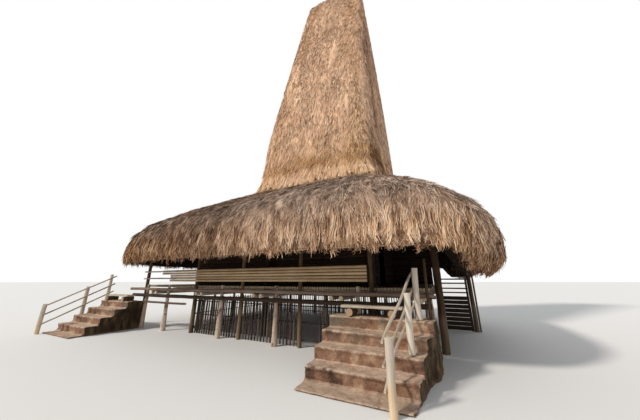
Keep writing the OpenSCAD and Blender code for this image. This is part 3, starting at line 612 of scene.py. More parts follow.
def ribbons(part, rows, across, width, tone, age, warm=0.0, fade=(-0.22, 0.14)):
    """Flat straws through two or three rows of points, narrowing to the tip."""
    n, m = len(rows[0]), len(rows)
    half = width[:, None] * across * 0.5
    narrow = np.array([1.0, 0.3]) if m == 2 else np.array([1.0, 0.9, 0.28])
    verts = np.stack([row + side * k * half for row, k in zip(rows, narrow) for side in (-1, 1)], 1)
    base = np.arange(n)[:, None] * 2 * m
    quads = np.concatenate([base + 2 * i + [0, 1, 3, 2] for i in range(m - 1)])
    length = np.linalg.norm(rows[-1] - rows[0], axis=-1)
    off = rng.random(n) * 50
    u0 = off[:, None] + np.tile([0.0, 1.0], m) * width[:, None]
    v0 = off[:, None] + np.repeat(np.linspace(0, 1, m), 2) * length[:, None]
    # fade darkens each straw towards its root and lightens it towards its tip: painted shade where
    # straws overlap, painted light on the tips
    tones = tone[:, None] + np.repeat(np.linspace(*fade, m), 2)
    part.add(verts, [quads], np.stack([u0, v0], -1), tones.ravel(), np.repeat(age, 2 * m),
             np.repeat(np.broadcast_to(warm, (n,)), 2 * m))


def scatter(point, count, low, high):
    """Even random places on a roof surface: angle, row value, point, down, side, normal."""
    t = np.linspace(0, 2 * np.pi, 721)
    w = np.linspace(low, high, 241)
    tt, ww = np.meshgrid((t[1:] + t[:-1]) / 2, (w[1:] + w[:-1]) / 2)
    dt, dw = t[1] - t[0], w[1] - w[0]
    a = point(tt + dt / 2, ww) - point(tt - dt / 2, ww)
    b = point(tt, ww + dw / 2) - point(tt, ww - dw / 2)
    area = np.linalg.norm(np.cross(a, b), axis=-1)
    pick = rng.choice(area.size, count, p=(area / area.sum()).ravel())
    t = tt.ravel()[pick] + (rng.random(count) - 0.5) * dt
    w = ww.ravel()[pick] + (rng.random(count) - 0.5) * dw
    p = point(t, w)
    e = 2e-3
    side = unit(point(t + e, w) - point(t - e, w))
    down = unit(point(t, w + e * (high - low)) - point(t, w - e * (high - low)))
    if down[:, 2].mean() > 0:
        down = -down
    normal = unit(np.cross(down, side))
    down = unit(np.array([0, 0, -1.0]) + normal * normal[:, 2:])
    side = unit(np.cross(normal, down))
    outward = p - np.array([AXIS_X, AXIS_Y, 0])
    flip = np.sign((normal[:, :2] * outward[:, :2]).sum(-1) + 1e-6)
    return t, w, p, down, side, normal * flip[:, None]


def in_tufts(place_at, each, spread):
    """Several straws around each place on a roof."""
    t, w, p, down, side, normal = (np.repeat(values, each, axis=0) for values in place_at)
    n = len(p)
    p = p + side * rng.normal(0, spread, n)[:, None] + down * rng.normal(0, spread * 1.7, n)[:, None]
    return t, w, p, down, side, normal


def shared(n, each, spread):
    """Random values that the straws of a tuft have in common."""
    return np.repeat(rng.normal(0, spread, n // each), each)


def covered(head, normal):
    """Direction of a straw's covered end, which never leaves the roof outwards."""
    outward = unit(normal * [1, 1, 0])
    inwards = np.minimum((head * outward).sum(-1, keepdims=True), 0)
    return unit(head - outward * inwards)


def lay_straws(part, place_at, length, width, lift, swing, age, warm, each=10, spread=0.03, bent=False,
               contrast=0.2, twist=0.6, shade=None, level=0.5, sink=0.015):
    """Tufts of straws that follow a roof downwards.

    length, width and lift are ranges; age, warm and shade give a roof's looks; bent adds a middle point.
    """
    t, _, p, down, side, normal = in_tufts(place_at, each, spread)
    n = len(p)
    size = length[0] + rng.random(n) * (length[1] - length[0])
    sway = shared(n, each, swing) + rng.normal(0, swing * 0.5, n)
    sway = sway + noise(p, (1.1, 1.1, 0.6), 21) * swing
    head = unit(down + side * sway[:, None])
    puff = np.repeat(rng.random(n // each) ** 2, each) * (0.6 + 0.4 * rng.random(n))
    rise = lift[0] + puff * (lift[1] - lift[0])
    root = p - normal * sink - covered(head, normal) * (size * 0.3)[:, None]
    mid = p + head * (size * 0.2)[:, None] + normal * (rise * 0.45)[:, None]
    tip = p + head * (size * 0.7)[:, None] + normal * (rise * 0.8 - sink * 0.4)[:, None]
    tip[:, 2] -= rise * 0.3
    roll = rng.normal(0, twist, n)
    across = unit(np.cross(normal, head)) * np.cos(roll)[:, None] + normal * np.sin(roll)[:, None]
    wide = width[0] + rng.random(n) * (width[1] - width[0])
    tone = level + noise(p, (3.6, 3.6, 2.0), 31) * 0.07 + shared(n, each, contrast * 0.7)
    # shade darkens the straws as painted shade, and lightens them where negative, as painted light
    tone = tone + rng.normal(0, contrast * 0.8, n) - (0 if shade is None else shade(p, t))
    rows = (root, mid, tip) if bent else (root, tip)
    ribbons(part, rows, across, wide, np.clip(tone, 0, 1), age(p, t), warm(p, t))


few = 1.0


# Roof pieces

def build_tower_cover(top_rows=95, inner_rows=12):
    """Outer coat, rounded top and hem of the tower, and its hollow, painted dark as shade."""
    part = Part()
    angles = spaced_angles(132, TOWER_W, TOWER_D, TOWER_POWER)
    rows = np.append(HEM_Z, np.linspace(HEM_Z + 0.03, RIDGE_Z - CROWN_H, top_rows))
    coat(part, lambda t, z: tower_point(t, z, -COVER_IN), angles, rows[::-1], 0.0,
         tower_age_and_right_shade, 0.03, tower_warm)
    t = closed(angles)

    def rings(places):
        return [tower_point(t, np.full_like(t, z), -inset) for z, inset in places]

    crown = rings(((RIDGE_Z - CROWN_H, COVER_IN), (RIDGE_Z - 0.04, 0.07), (RIDGE_Z, 0.14)))
    middle = crown[-1].copy()
    middle[:, 1] = AXIS_Y
    add_rings(part, crown + [middle], t, 3, 0.1, 0.4, 0.3, turned=True)
    add_rings(part, rings(((HEM_Z, COVER_IN), (HEM_Z, 0.17), (SEAT_Z, 0.17))), t, 3, 0.1, 0.4, 0.3)
    part.build("tower_cover", thatch, ["tower_thatch"])

    inner = Part()
    tt, zz = np.meshgrid(t[::3], np.linspace(SEAT_Z, RIDGE_Z - HOLLOW_TOP, inner_rows))
    walls = tower_point(tt, zz, -TOWER_T - hem_flare(zz))
    inner.add(walls, [ring_faces(inner_rows, tt.shape[1])], np.stack([tt * 3, zz], -1), 0.2, 0.5)
    inner.build("tower_hollow", under, ())


def build_tower_straw():
    """Short straw all over the tower."""
    part = Part()
    spots = scatter(tower_point, int(16500 * few), HEM_Z + 0.1, RIDGE_Z - 0.05)
    lay_straws(part, spots, (0.1, 0.25), (0.008, 0.015), (0.006, 0.036), 0.2, tower_age_and_right_shade, tower_warm,
               each=6, spread=0.02, twist=0.4, contrast=0.34, shade=tower_shade, level=0.5)
    part.build("tower_straw", straw, (), False)


def build_tower_hem():
    """Ragged hem of the tower, in two layers, and the straw that covers its joint with the skirt."""
    part = Part()
    spots = scatter(tower_point, int(1300 * few), HEM_Z, HEM_Z + 0.55)
    lay_straws(part, spots, (0.24, 0.52), (0.008, 0.017), (0.02, 0.1), 0.2, tower_age_and_right_shade, tower_warm,
               each=9, bent=True, shade=tower_shade, level=0.56)
    spots = scatter(tower_point, int(1400 * few), HEM_Z + 0.5, HEM_Z + 0.98)
    lay_straws(part, spots, (0.16, 0.34), (0.008, 0.015), (0.03, 0.12), 0.3, tower_age_and_right_shade, tower_warm,
               each=9, shade=tower_shade, level=0.52)
    spots = scatter(skirt_point, int(620 * few), 0.0, 0.05)
    lay_straws(part, spots, (0.2, 0.44), (0.008, 0.017), (0.02, 0.08), 0.24, tower_age_and_right_shade, tower_warm,
               each=9, level=0.56)
    part.build("tower_hem_straw", straw, (), False)


def build_skirt_cover():
    """Outer coat of the skirt, and its underside, painted dark as shade, from the hanging edge up to the
    tower's seat.
    """
    part = Part()
    angles = spaced_angles(198, EAVE_HALF, EAVE_FRONT, EAVE_POWER)
    coat(part, skirt_point, angles, np.linspace(0, 1, 72), -0.04, skirt_age, 0.035, skirt_warm)
    part.build("skirt_cover", thatch, ["skirt_thatch"])

    t = closed(angles)[::2]
    drop = eave_drop(t)

    def ring(inset, z, share=1.0):
        x, y = eave_outline(t, inset + share * SKIRT_TUCK[-1] * drop)
        return from_axis(x, y, z - share * drop)

    x, y = outline(t, TOWER_W, TOWER_D, TOWER_POWER)
    rings = [ring(0.0, EAVE_Z + 0.03),
             ring(LIP, EAVE_Z + 0.02),
             ring(LIP + (FOOT_IN - LIP) / 3, EAVE_Z + FOOT_H / 3, 0.67),
             ring(FOOT_IN, EAVE_Z + FOOT_H, 0.0),
             from_axis(x, y, 0 * x + SEAT_Z)]
    part = Part()
    add_rings(part, rings, t, 5, 0.6, 0.4, 0.6)
    part.build("skirt_underside", under, ())


def build_skirt_straw():
    """Short straw all over the skirt."""
    part = Part()
    spots = scatter(skirt_point, int(12400 * few), 0.02, 0.965)
    lay_straws(part, spots, (0.1, 0.25), (0.007, 0.014), (0.008, 0.07), 0.26, skirt_age, skirt_warm,
               each=8, spread=0.026, contrast=0.36, shade=skirt_painted_light_and_streaks)
    part.build("skirt_straw", straw, (), False)


def build_skirt_fringe(count=38000, each=10):
    """Tufts that bend over the eave and hang unevenly."""
    part = Part()
    spots = scatter(skirt_point, int(count * few) // each, 0.86, 0.998)
    t, _, p, down, side, normal = in_tufts(spots, each, 0.03)
    n = len(p)
    plan = p * [1, 1, 0]
    ragged = noise(plan, (1.6, 1.6, 1), 41) * 0.07 + noise(plan, (6, 6, 1), 42) * 0.07
    # Gaps between clumps: their straws end higher and are painted darker, as shade
    gap = smooth((noise(plan, (8, 8, 1), 45) - 0.02) / 0.22)
    end_z = EAVE_Z + 0.06 + 0.13 * gap - eave_drop(t) + ragged
    end_z = end_z + shared(n, each, 0.07) + rng.normal(0, 0.045, n)
    size = np.clip(p[:, 2] - end_z, 0.05, 0.15 + 0.17 * np.repeat(rng.random(n // each), each))
    head = unit(down + side * (rng.normal(0, 0.08, n) + shared(n, each, 0.16))[:, None])
    out = np.repeat(rng.random(n // each) ** 1.5, each)[:, None] * 0.06 - 0.015
    root = p + normal * (out - 0.02) - covered(head, normal) * 0.1
    tuck = eave_drop(t)[:, None]
    outward = unit(normal * [1, 1, 0])
    mid = p + head * (size * 0.45)[:, None] + normal * out - outward * 0.5 * tuck * size[:, None]
    hang = unit(head * 0.7 + np.array([0, 0, -1.0]) - outward * 2.2 * tuck)
    tip = mid + hang * (size * 0.55)[:, None]
    tip = tip + side * (rng.normal(0, 0.02, n) + shared(n, each, 0.04))[:, None]
    roll = rng.normal(0, 0.6, n)
    across = unit(side) * np.cos(roll)[:, None] + normal * np.sin(roll)[:, None]
    wide = 0.008 + rng.random(n) * 0.009
    tone = 0.46 + noise(p, (3.5, 3.5, 1), 43) * 0.12 + shared(n, each, 0.27) + rng.normal(0, 0.26, n)
    # Painted shade and light from the skirt, and painted shade in the gaps between clumps
    tone = np.clip(tone - skirt_painted_light_and_streaks(p, t) - 0.34 * gap, 0, 1)
    warm = np.clip(skirt_warm(p, t) + 0.15, 0, 1)
    # A strong fade: painted shade at the roots and painted light on the tips
    ribbons(part, (root, mid, tip), across, wide, tone, skirt_age(p, t) * 0.8, warm, (-0.42, 0.32))
    part.build("skirt_fringe", straw, (), False)


def inner_edge(t, w):
    """Under face of the hanging edge, from its outer corner inwards."""
    x, y = eave_outline(t, 0.02 + 0.24 * w + SKIRT_TUCK[-1] * eave_drop(t))
    return from_axis(x, y, EAVE_Z + 0.24 + 0.1 * w - eave_drop(t))


def build_eave_straw():
    """Straws that hang behind the fringe, painted dark as shade."""
    part = Part()
    _, _, p, _, side, _ = scatter(inner_edge, int(10000 * few), 0.0, 1.0)
    n = len(p)
    size = 0.18 + rng.random(n) * 0.12 + noise(p, (5, 5, 1), 44) * 0.05
    tip = p + np.stack([rng.normal(0, 0.03, n), rng.normal(0, 0.03, n), -size], -1)
    wide = 0.01 + rng.random(n) * 0.012
    # Low tones: painted shade behind the fringe
    tone = np.clip(0.15 + rng.normal(0, 0.14, n), 0, 1)
    ribbons(part, (p + [0, 0, 0.05], tip), side, wide, tone, np.full(n, 0.5), 0.3)
    part.build("eave_straw", straw, (), False)


def build_ridge(count=5200):
    """Straw roll along the ridge: straws laid over a lumpy core."""
    part = Part()
    low, high = corners("ridge_roll")
    n = int(count * few)
    x = low[0] + 0.06 + rng.random(n) * (high[0] - low[0] - 0.12)
    turn = rng.normal(0, 0.62, n)
    rad = 0.15 + 0.02 * noise(np.stack([x, turn, 0 * x], -1), (4, 2, 1), 91)

    def roll_point(x, turn, rad):
        return np.stack([x, AXIS_Y + rad * np.sin(turn), RIDGE_Z + rad * np.cos(turn)], -1)

    sense = np.sign(turn + 1e-6)
    root = roll_point(x, turn, rad)
    mid = roll_point(x + rng.normal(0, 0.02, n), turn + sense * 0.7, rad + 0.004)
    tip = roll_point(x + rng.normal(0, 0.04, n), turn + sense * 1.5, rad + 0.02)
    tip[:, 2] = np.maximum(tip[:, 2], RIDGE_Z - 0.35)
    across = np.tile([1.0, 0, 0], (n, 1))
    wide = 0.013 + rng.random(n) * 0.016
    tone = np.clip(0.4 + rng.normal(0, 0.2, n), 0, 1)
    ribbons(part, (root, mid, tip), across, wide, tone, np.full(n, 0.2), 0.35)
    core_x = np.linspace(low[0] + 0.05, high[0] - 0.05, 40)
    swell = 0.135 + 0.012 * np.sin(core_x * 9)
    swell[0] = swell[-1] = 0.07
    core = np.stack([core_x, 0 * core_x + AXIS_Y, 0 * core_x + RIDGE_Z], -1)
    tube(part, core, swell, 20, 0.45, 0.12, 4, lumps=6.0)
    part.build("ridge_bundle", straw, ["ridge_roll"])


# Poles, culms and boards

def straight_frame(a, b):
    """Direction from a to b and two directions across it."""
    axis = unit(b - a)
    helper = np.array([0, 0, 1.0]) if abs(axis[2]) < 0.9 else np.array([1.0, 0, 0])
    x = unit(np.cross(helper, axis))
    return axis, x, np.cross(axis, x)


def tube(part, path, radii, sides=12, tone=0.5, rough=0.05, seed=0, lumps=3.0):
    """Round pole through a path, with uneven surface and sawn ends."""
    path, radii = np.asarray(path, float), np.asarray(radii, float)
    axis, x, y = straight_frame(path[0], path[-1])
    t = np.arange(sides + 1) / sides * 2 * np.pi
    run = run_along(path)
    around = (np.cos(t)[None] * 1.3 + seed * 7.1, np.sin(t)[None] * 1.3, run[:, None] * lumps)
    q = np.stack(np.broadcast_arrays(*around), -1)
    r = radii[:, None] * (1 - rough + rough * noise(q, 1, 51 + seed))
    p = path[:, None] + r[..., None] * (np.cos(t)[None, :, None] * x + np.sin(t)[None, :, None] * y)
    uv = np.stack(np.broadcast_arrays(t[None] / (2 * np.pi), run[:, None] + seed * 3.7), -1)
    uv[..., 0] *= 2.0
    part.add(p, [ring_faces(len(path), sides + 1)], uv, tone, 0.0)
    i = np.arange(sides)
    tri = np.stack([i, (i + 1) % sides, np.full(sides, sides)], -1)
    for k, hollow, faces in ((0, 0.06, tri[:, ::-1]), (-1, -0.06, tri)):
        cap = np.vstack([p[k][:-1], path[k] + axis * (radii[k] * hollow)])
        part.add(cap, [faces], cap[:, :2] * 9, 0.5, 1.0)


def bent_path(a, b, k, waves, seed, seeds, bend):
    """Points at shares k of the way from a to b, on a slightly bent line."""
    length = np.linalg.norm(b - a)
    _, x, y = straight_frame(a, b)
    q = np.stack([k * length * waves + seed, 0 * k, 0 * k], -1)
    hold = np.sin(np.pi * np.clip(k, 0, 1)) ** 0.7
    path = a + k[:, None] * (b - a)
    for direction, noise_seed in zip((x, y), seeds):
        path = path + (noise(q, 1, noise_seed) * hold * bend)[:, None] * direction
    return path


def pole(part, a, b, r0, r1, bend=0.01, sides=12, tone=0.5, rough=0.07, seed=0, step=0.12, lumps=3.0):
    """Slightly bent pole that narrows from radius r0 to r1."""
    a, b = np.asarray(a, float), np.asarray(b, float)
    n = max(4, int(np.linalg.norm(b - a) / step) + 1)
    k = np.linspace(0, 1, n)
    path = bent_path(a, b, k, 0.9, seed * 5.3, (61, 62), bend)
    tube(part, path, r0 + (r1 - r0) * k, sides, tone, rough, seed, lumps=lumps)


def culm(part, a, b, r, joint=0.36, bend=0.012, sides=10, tone=0.5, seed=0):
    """Bamboo with swollen joints."""
    a, b = np.asarray(a, float), np.asarray(b, float)
    length = np.linalg.norm(b - a)
    stops, radii = [0.0], [r]
    z = spread_out(seed, 0.37) * joint + 0.06
    while z < length - 0.06:
        stops += [z - 0.022, z - 0.006, z + 0.004, z + 0.02]
        radii += [r * 0.985, r * 1.0, r * 0.93, r * 0.985]
        z += joint * (0.85 + 0.3 * ((seed * 0.61 + z * 1.7) % 1))
    stops.append(length)
    radii.append(r * 0.985)
    path = bent_path(a, b, np.array(stops) / length, 0.7, seed * 4.1, (63, 64), bend)
    tube(part, path, np.array(radii), sides, tone, 0.0, seed)


def solids(node):
    """Separate solids of a CAD node as arrays of corner points."""
    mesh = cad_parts[node].data
    co = np.empty(len(mesh.vertices) * 3)
    mesh.vertices.foreach_get("co", co)
    co = co.reshape(-1, 3)
    world = np.array(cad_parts[node].matrix_world)
    co = co @ world[:3, :3].T + world[:3, 3]
    keys, index = np.unique(np.round(co, 4), axis=0, return_inverse=True)
    index = index.ravel()
    parent = list(range(len(keys)))

    def find(i):
        while parent[i] != i:
            parent[i] = parent[parent[i]]
            i = parent[i]
        return i

    for edge in mesh.edges:
        i, j = find(index[edge.vertices[0]]), find(index[edge.vertices[1]])
        if i != j:
            parent[i] = j
    groups = {}
    for i in range(len(keys)):
        groups.setdefault(find(i), []).append(i)
    return [keys[g] for g in groups.values()]


def rods(node):
    """Ends and radii of the straight rods of a CAD node, lowest or leftmost end first."""
    found = []
    for pts in solids(node):
        mid = pts.mean(0)
        axis = np.linalg.svd(pts - mid, full_matrices=False)[2][0]
        along = (pts - mid) @ axis
        near, far = pts[along < along.min() + 0.02], pts[along > along.max() - 0.02]
        a, b = near.mean(0), far.mean(0)
        axis = unit(b - a)
        r = []
        for q, c in ((near, a), (far, b)):
            off = (q - c) - ((q - c) @ axis)[:, None] * axis
            r.append(np.linalg.norm(off, axis=-1).max())
        if (b - a)[np.argmax(np.abs(b - a))] < 0:
            a, b, r = b, a, r[::-1]
        found.append((a, b, r[0], r[1]))
    return sorted(found, key=lambda f: tuple(np.round(f[0], 2)))


def swap_rods(name, nodes, material, slot, style="pole", keep=None, seed=1, slim=1.0, light=0.0,
              **options):
    """Replace the plain rods of some CAD nodes by uneven poles or bamboo; keep picks them by radius."""
    part = Part()
    for a, b, r0, r1 in (rod for node in nodes for rod in rods(node)):
        seed += 1
        if keep and not keep(r0):
            continue
        tone = 0.5 + light + 0.35 * (spread_out(seed) - 0.5)
        if style == "culm":
            culm(part, a, b, slim * (r0 + r1) / 2, seed=seed, tone=tone, **options)
        else:
            pole(part, a, b, slim * r0, slim * r1, seed=seed, tone=tone, **options)
    part.build(name, material, nodes)


def build_poles():
    """Posts, rafters, beams, stilts, parapet and rails, and near-black wood, painted shade, for the ring
    beam and hoop.
    """
    swap_rods("posts_main", ["main_posts"], dark_wood, "dark_wood", rough=0.05, sides=16, bend=0.0)
    swap_rods("posts_front", ["front_posts", "back_posts"], post_wood, "dark_wood",
              rough=0.13, bend=0.006, light=0.2, lumps=5.0, step=0.08)
    swap_rods("posts_side", ["side_posts"], post_wood, "dark_wood", rough=0.1, bend=0.008, seed=20)
    swap_rods("plate_logs", ["plates"], dark_wood, "dark_wood", rough=0.06, bend=0.004)
    swap_rods("rafter_poles", ["rafters_front", "rafters_back", "rafters_left", "rafters_right"],
              inner_wood_painted_shade, "dark_wood", rough=0.08, bend=0.0, sides=8, step=0.4)
    swap_rods("tower_frame", ["tower_poles", "ridge_frame"], inner_wood_painted_shade, "dark_wood",
              rough=0.05, bend=0.0, sides=8, step=0.5)
    swap_rods("stilts", ["stilts_front", "stilts_middle", "stilts_back"], stilt_wood, "pole",
              rough=0.14, bend=0.016, sides=14, seed=40, step=0.07, lumps=5.0, light=0.15)
    swap_rods("beams", ["floor_beams"], dark_wood, "dark_wood", rough=0.06, bend=0.003)
    swap_rods("joists", ["floor_joists"], pole_wood, "pole", rough=0.05, bend=0.003, seed=60)
    swap_rods("bearers", ["floor_bearers"], pole_wood, "pole", rough=0.1, bend=0.012, seed=75)
    swap_rods("edge_pole", ["front_pole"], brown_wood, "pole", rough=0.1, bend=0.012, seed=78)
    swap_rods("low_ties", ["low_poles"], brown_wood, "pole", rough=0.1, bend=0.01, seed=80)
    swap_rods("parapet_culms", ["parapet_front", "parapet_back"], bamboo, "bamboo", "culm",
              bend=0.003, seed=3, slim=0.92)
    swap_rods("bay_rail_poles", ["bay_rails"], pole_wood, "pole",
              rough=0.12, bend=0.012, sides=8, seed=9)
    swap_rods("stair_rail_posts", ["rail_posts_right", "rail_posts_left"], rail_wood, "pole",
              rough=0.14, bend=0.012, sides=16, seed=90, step=0.06, slim=1.2, light=0.3,
              keep=lambda r: r > SLIM_POST)
    swap_rods("head_pole", ["rail_posts_right"], post_wood, "dark_wood",
              rough=0.12, bend=0.02, seed=95, step=0.08, keep=lambda r: r < SLIM_POST)
    swap_rods("stair_rails_right", ["rails_right"], pole_wood, "pole",
              rough=0.22, bend=0.055, sides=10, seed=121, step=0.06)
    swap_rods("stair_rails_left", ["rails_left"], pole_wood, "pole",
              rough=0.12, bend=0.008, sides=9, seed=131, step=0.1)
    swap_rods("step_log_pair", ["step_logs"], post_wood, "dark_wood",
              rough=0.05, bend=0.0, sides=18, seed=140, step=0.05)
    for node in ("ring_beam", "eave_hoop"):
        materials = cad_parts[node].data.materials
        materials.clear()
        materials.append(inner_wood_painted_shade)


def build_floor():
    """Floor of bamboo culms side by side."""
    part = Part()
    low, high = corners("bamboo_floor")
    z = (low[2] + high[2]) / 2
    for k in range(int(round((high[0] - low[0]) / CULM_D))):
        x = low[0] + CULM_D * (k + 0.5)
        shy = 0.012 * spread_out(k, 0.37)
        culm(part, (x, low[1] + shy, z), (x, high[1] - shy, z), CULM_D / 2, joint=0.62, bend=0.002,
             sides=7, tone=0.35 + 0.4 * spread_out(k), seed=k)
    part.build("floor_culms", floor_bamboo_painted_shade, ["bamboo_floor"])


def board(part, low, high, seed=0, tone=0.5, cell=0.12, rough=0.003, along=0):
    """Rough board: a box with cut corners, split along its length and slightly uneven."""
    low, high = np.asarray(low, float), np.asarray(high, float)
    size = high - low
    others = [i for i in range(3) if i != along]
    n = max(2, int(size[along] / cell) + 1)
    k = np.linspace(0, 1, n)
    u, v = size[others[0]], size[others[1]]
    c = min(0.006, u * 0.2, v * 0.2)
    loop = np.array([(c, 0), (u - c, 0), (u, c), (u, v - c), (u - c, v),
                     (c, v), (0, v - c), (0, c), (c, 0)])
    pts = np.zeros((n, 9, 3))
    pts[:, :, others[0]] = low[others[0]] + loop[:, 0]
    pts[:, :, others[1]] = low[others[1]] + loop[:, 1]
    pts[:, :, along] = (low[along] + k * size[along])[:, None]
    q = pts[:, :-1] + seed * 3.3
    shift = np.stack([noise(q, 6, 71 + a) for a in range(3)], -1) * rough
    inward = -np.sign(pts[:, :-1] - (low + high) / 2) * np.abs(shift)
    inward[..., along] = 0
    pts[:, :-1] += inward
    pts[:, -1] = pts[:, 0]
    edge = run_along(pts[0])
    run = (k * size[along])[:, None] + seed * 1.7
    uv = np.stack(np.broadcast_arrays(edge[None] * 6 + seed, run), -1)
    flip = along == 1
    faces = ring_faces(n, 9)
    part.add(pts, [faces if flip else faces[:, ::-1]], uv, tone, 0.0)
    order = np.arange(8)[None]
    for end, turn in ((0, True), (-1, False)):
        ring = pts[end][:-1]
        part.add(ring, [order[:, ::-1] if turn != flip else order], ring[:, others] * 9, 0.5, 1.0)


def beside_door(node, a, b, floor_z):
    """A level strip of wall, split where it meets the doorway."""
    if node != "wall_right" or a[2] >= floor_z + DOOR_H:
        return [(a, b)]
    left, right = b.copy(), a.copy()
    left[1], right[1] = AXIS_Y - DOOR_W / 2, AXIS_Y + DOOR_W / 2
    return [(a, left), (right, b)]


def build_walls(rows=17, gap=0.003):
    """Room walls of level split poles on a thin core, with a doorway on the right."""
    part = Part()
    walls = {"wall_front": 0, "wall_back": 0, "wall_left": 1, "wall_right": 1}
    for node, along in walls.items():
        low, high = corners(node)
        pitch = (high[2] - low[2]) / rows
        for k in range(rows):
            a, b = low.copy(), high.copy()
            a[2], b[2] = low[2] + k * pitch + gap, low[2] + (k + 1) * pitch - gap
            for i, (p, q) in enumerate(beside_door(node, a, b, low[2])):
                tone = 0.3 + 0.5 * ((k * 0.618 + i * 0.3) % 1)
                board(part, p, q, seed=k + i * 31 + along * 7, tone=tone,
                      along=along, cell=0.4, rough=0.006)
        across = 1 - along
        core = (low[across] * 0.6 + high[across] * 0.4, low[across] * 0.4 + high[across] * 0.6)
        for z0, z1 in ((low[2], low[2] + DOOR_H), (low[2] + DOOR_H, high[2])):
            a, b = low.copy(), high.copy()
            a[across], b[across] = core
            a[2], b[2] = z0, z1
            for p, q in beside_door(node, a, b, low[2]):
                board(part, p, q, seed=9, tone=0.2, along=along, cell=0.4, rough=0.0)
    part.build("room_walls", inner_wood_painted_shade, list(walls))


def build_screen():
    """Screen of level boards on the right, wide ones below and slim ones above."""
    part = Part()
    low, high = corners("side_screen")
    for k in range(8):
        z = low[2] + 0.02 + k * 0.126
        board(part, (low[0], low[1], z), (high[0], low[1] + 0.024, z + 0.118),
              seed=k, tone=0.35 + 0.4 * spread_out(k))
    for k, z in enumerate((1.11, 1.24, 1.4, 1.53)):
        board(part, (low[0], low[1], z), (high[0], low[1] + 0.024, z + 0.044), seed=k + 20, tone=0.5)
    for k, x in enumerate((low[0], high[0] - 0.06)):
        board(part, (x, low[1] + 0.02, 0), (x + 0.06, high[1], 1.6), seed=k + 40, tone=0.4, along=2)
    part.build("screen_boards", inner_wood_painted_shade, ["side_screen"])


def build_pen():
    """Slatted walls of the pen, with a gap beside a front post, and the rails behind the slats."""
    part = Part()
    walls = ("slat_wall_front", "slat_wall_back", "slat_wall_left", "slat_wall_right")
    for node, along, facing in zip(walls, (0, 0, 1, 1), (-1, 1, -1, 1)):
        low, high = corners(node)
        across = 1 - along
        count = int((high[along] - low[along]) / SLAT_PITCH)
        line = low[across] + SLAT_R if facing < 0 else high[across] - SLAT_R
        for k in range(count + 1):
            pos = low[along] + SLAT_R + (high[along] - low[along] - 2 * SLAT_R) * k / count
            if node == "slat_wall_front" and PEN_GAP[0] < pos < PEN_GAP[1]:
                continue
            a = np.zeros(3)
            a[along], a[across] = pos, line
            b = a.copy()
            b[2] = high[2] - 0.001 - 0.05 * spread_out(k, 0.73)
            b[along] += 0.02 * (spread_out(k, 0.47) - 0.5)
            size = SLAT_R * (0.95 + 0.3 * spread_out(k))
            tone = 0.2 + 0.65 * spread_out(k, 0.377)
            pole(part, a, b, size, size * 0.85, bend=0.006, sides=7, tone=tone,
                 rough=0.1, seed=k + 200, step=0.16)
        for z in (0.14, 0.54, 0.92):
            a, b = np.zeros(3), np.zeros(3)
            a[along], b[along] = low[along], high[along]
            a[across] = b[across] = line + (SLAT_R if facing < 0 else -SLAT_R)
            a[2] = b[2] = z * high[2]
            pole(part, a, b, 0.015, 0.015, bend=0.004, sides=7, tone=0.25,
                 rough=0.1, seed=int(z * 100), step=0.3)
    part.build("pen_slats", slat_wood, list(walls))


def build_planks():
    """Weathered plank steps at the head of the right stair."""
    part = Part()
    for k, points in enumerate(solids("plank_steps")):
        board(part, points.min(0), points.max(0), seed=k + 5, tone=0.55, cell=0.06, rough=0.008)
    part.build("step_planks", pole_wood, ["plank_steps"])


# Stone stairs

def regrid(name, node, grid_size):
    """Mesh of a CAD node in the row's frame, remeshed to an even grid and slightly relaxed."""
    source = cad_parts[node]
    mesh = source.data.copy()
    mesh.transform(source.matrix_world)
    temp = add_object("temp_" + name, mesh)
    weld = temp.modifiers.new("weld", "WELD")
    weld.merge_threshold = 0.0005
    grid = temp.modifiers.new("grid", "REMESH")
    grid.mode = "VOXEL"
    grid.voxel_size = grid_size
    relax = temp.modifiers.new("relax", "SMOOTH")
    relax.factor = 0.5
    relax.iterations = 1
    done = bpy.data.meshes.new_from_object(temp.evaluated_get(bpy.context.evaluated_depsgraph_get()))
    bpy.data.objects.remove(temp)
    return done


def stone_block(name, node, grid_size, spread=None):
    """Stair of stone and mortar: remeshed solid with worn edges and a rough surface.

    spread moves the right side outwards by the given metres at each step's front.
    """
    done = regrid(name, node, grid_size)
    n = len(done.vertices)
    co, no = np.empty(n * 3), np.empty(n * 3)
    done.vertices.foreach_get("co", co)
    done.vertices.foreach_get("normal", no)
    co, no = co.reshape(-1, 3), no.reshape(-1, 3)
    low, high = corners(node)
    side = np.abs(no[:, 0]) > 0.7
    depth = 0.007 * noise(co, 9, 81) + 0.004 * noise(co, 26, 82)
    depth = depth + 0.006 * noise(co, 3, 83)
    depth = np.where(side, depth * 2.4 + 0.006 * noise(co, (14, 14, 30), 84) - 0.008, depth)
    co = np.clip(co + no * (depth - 0.006)[:, None], low, high)
    if spread:
        share = (co[:, 0] - low[0]) / (high[0] - low[0])
        co[:, 0] += share ** 2 * np.interp(co[:, 1] - low[1], np.arange(len(spread)) * TREAD, spread)
    worn = np.zeros(n)
    for k in range(STEPS):
        near = np.hypot(co[:, 1] - low[1] - k * TREAD, co[:, 2] - FIRST_RISE - k * RISE)
        worn = np.maximum(worn, smooth((0.042 - near) / 0.03))
    worn = np.where(side, 0.4, 1.0) * worn
    done.attributes.new("age", "FLOAT", "POINT").data.foreach_set("value", worn)
    done.vertices.foreach_set("co", co.ravel())
    done.polygons.foreach_set("use_smooth", np.ones(len(done.polygons), bool))
    done.materials.clear()
    done.materials.append(stone)
    done.update()
    done.set_sharp_from_angle(angle=math.radians(28))
    place(name, done, [node])


# Floor, light and camera

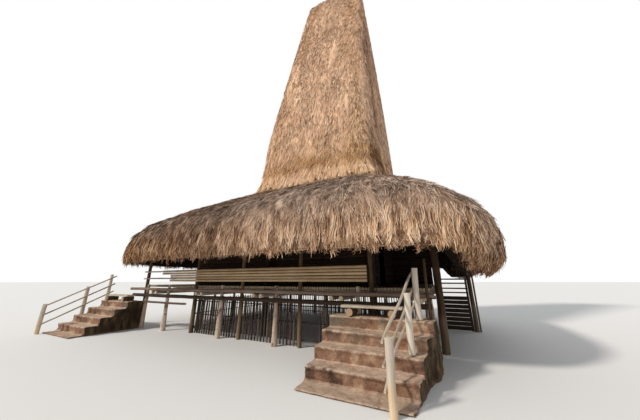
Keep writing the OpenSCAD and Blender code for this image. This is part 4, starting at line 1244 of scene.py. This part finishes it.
def build_studio():
    """Plain pale floor, soft light from all round, and one warm lamp."""
    ground = Shader("studio_floor")
    ground.feed(ground.bsdf, {"Base Color": (0.78, 0.77, 0.75), "Roughness": 0.95})
    mesh = bpy.data.meshes.new("studio_floor")
    points = [(-GROUND, -GROUND, 0), (GROUND, -GROUND, 0), (GROUND, GROUND, 0), (-GROUND, GROUND, 0)]
    mesh.from_pydata(points, [], [(0, 1, 2, 3)])
    mesh.materials.append(ground.mat)
    add_object("studio_floor", mesh)

    world = bpy.data.worlds.new("studio")
    bpy.context.scene.world = world
    world.use_nodes = True
    nodes, links = world.node_tree.nodes, world.node_tree.links
    sky, white = nodes["Background"], nodes.new("ShaderNodeBackground")
    for shader, colour, strength in ((sky, (0.93, 0.96, 1.0, 1), 0.58), (white, (1, 1, 1, 1), 1.0)):
        shader.inputs["Color"].default_value = colour
        shader.inputs["Strength"].default_value = strength
    path = nodes.new("ShaderNodeLightPath")
    blend = nodes.new("ShaderNodeMixShader")
    seen = nodes.new("ShaderNodeMath")
    seen.operation = "MAXIMUM"
    for output, socket in ((path.outputs["Is Camera Ray"], seen.inputs[0]),
                           (path.outputs["Is Glossy Ray"], seen.inputs[1]),
                           (seen.outputs[0], blend.inputs[0]), (sky.outputs[0], blend.inputs[1]),
                           (white.outputs[0], blend.inputs[2]),
                           (blend.outputs[0], nodes["World Output"].inputs["Surface"])):
        links.new(output, socket)

    sun = bpy.data.lights.new("key", "SUN")
    sun.energy = 2.5
    sun.angle = math.radians(6)
    sun.color = (1.0, 0.95, 0.88)
    add_object("key", sun).rotation_euler = (math.radians(52), 0, math.radians(-38))


def add_camera():
    """Camera at the photograph's eye point."""
    camera = bpy.data.cameras.new("photo_view")
    camera.sensor_width = 36
    camera.lens = 13.44
    camera.clip_end = 1000
    eye = add_object("photo_view", camera)
    eye.location = (EYE[0] + AXIS_X, EYE[1] + AXIS_Y, EYE[2])
    eye.rotation_euler = (math.radians(90 + EYE_TILT), 0, math.radians(EYE_PAN))
    bpy.context.scene.camera = eye
    bpy.context.scene.view_settings.view_transform = "Standard"


build_tower_cover()
build_tower_straw()
build_tower_hem()
build_skirt_cover()
build_skirt_straw()
build_skirt_fringe()
build_eave_straw()
build_poles()
build_floor()
build_walls()
build_screen()
build_pen()
build_planks()
stone_block("stair_block_right", "stair_right", 0.022, (-0.08, -0.02, 0.02, 0.065, 0.18, 0.23))
stone_block("stair_block_left", "stair_left", 0.034)
build_ridge()
build_studio()
add_camera()
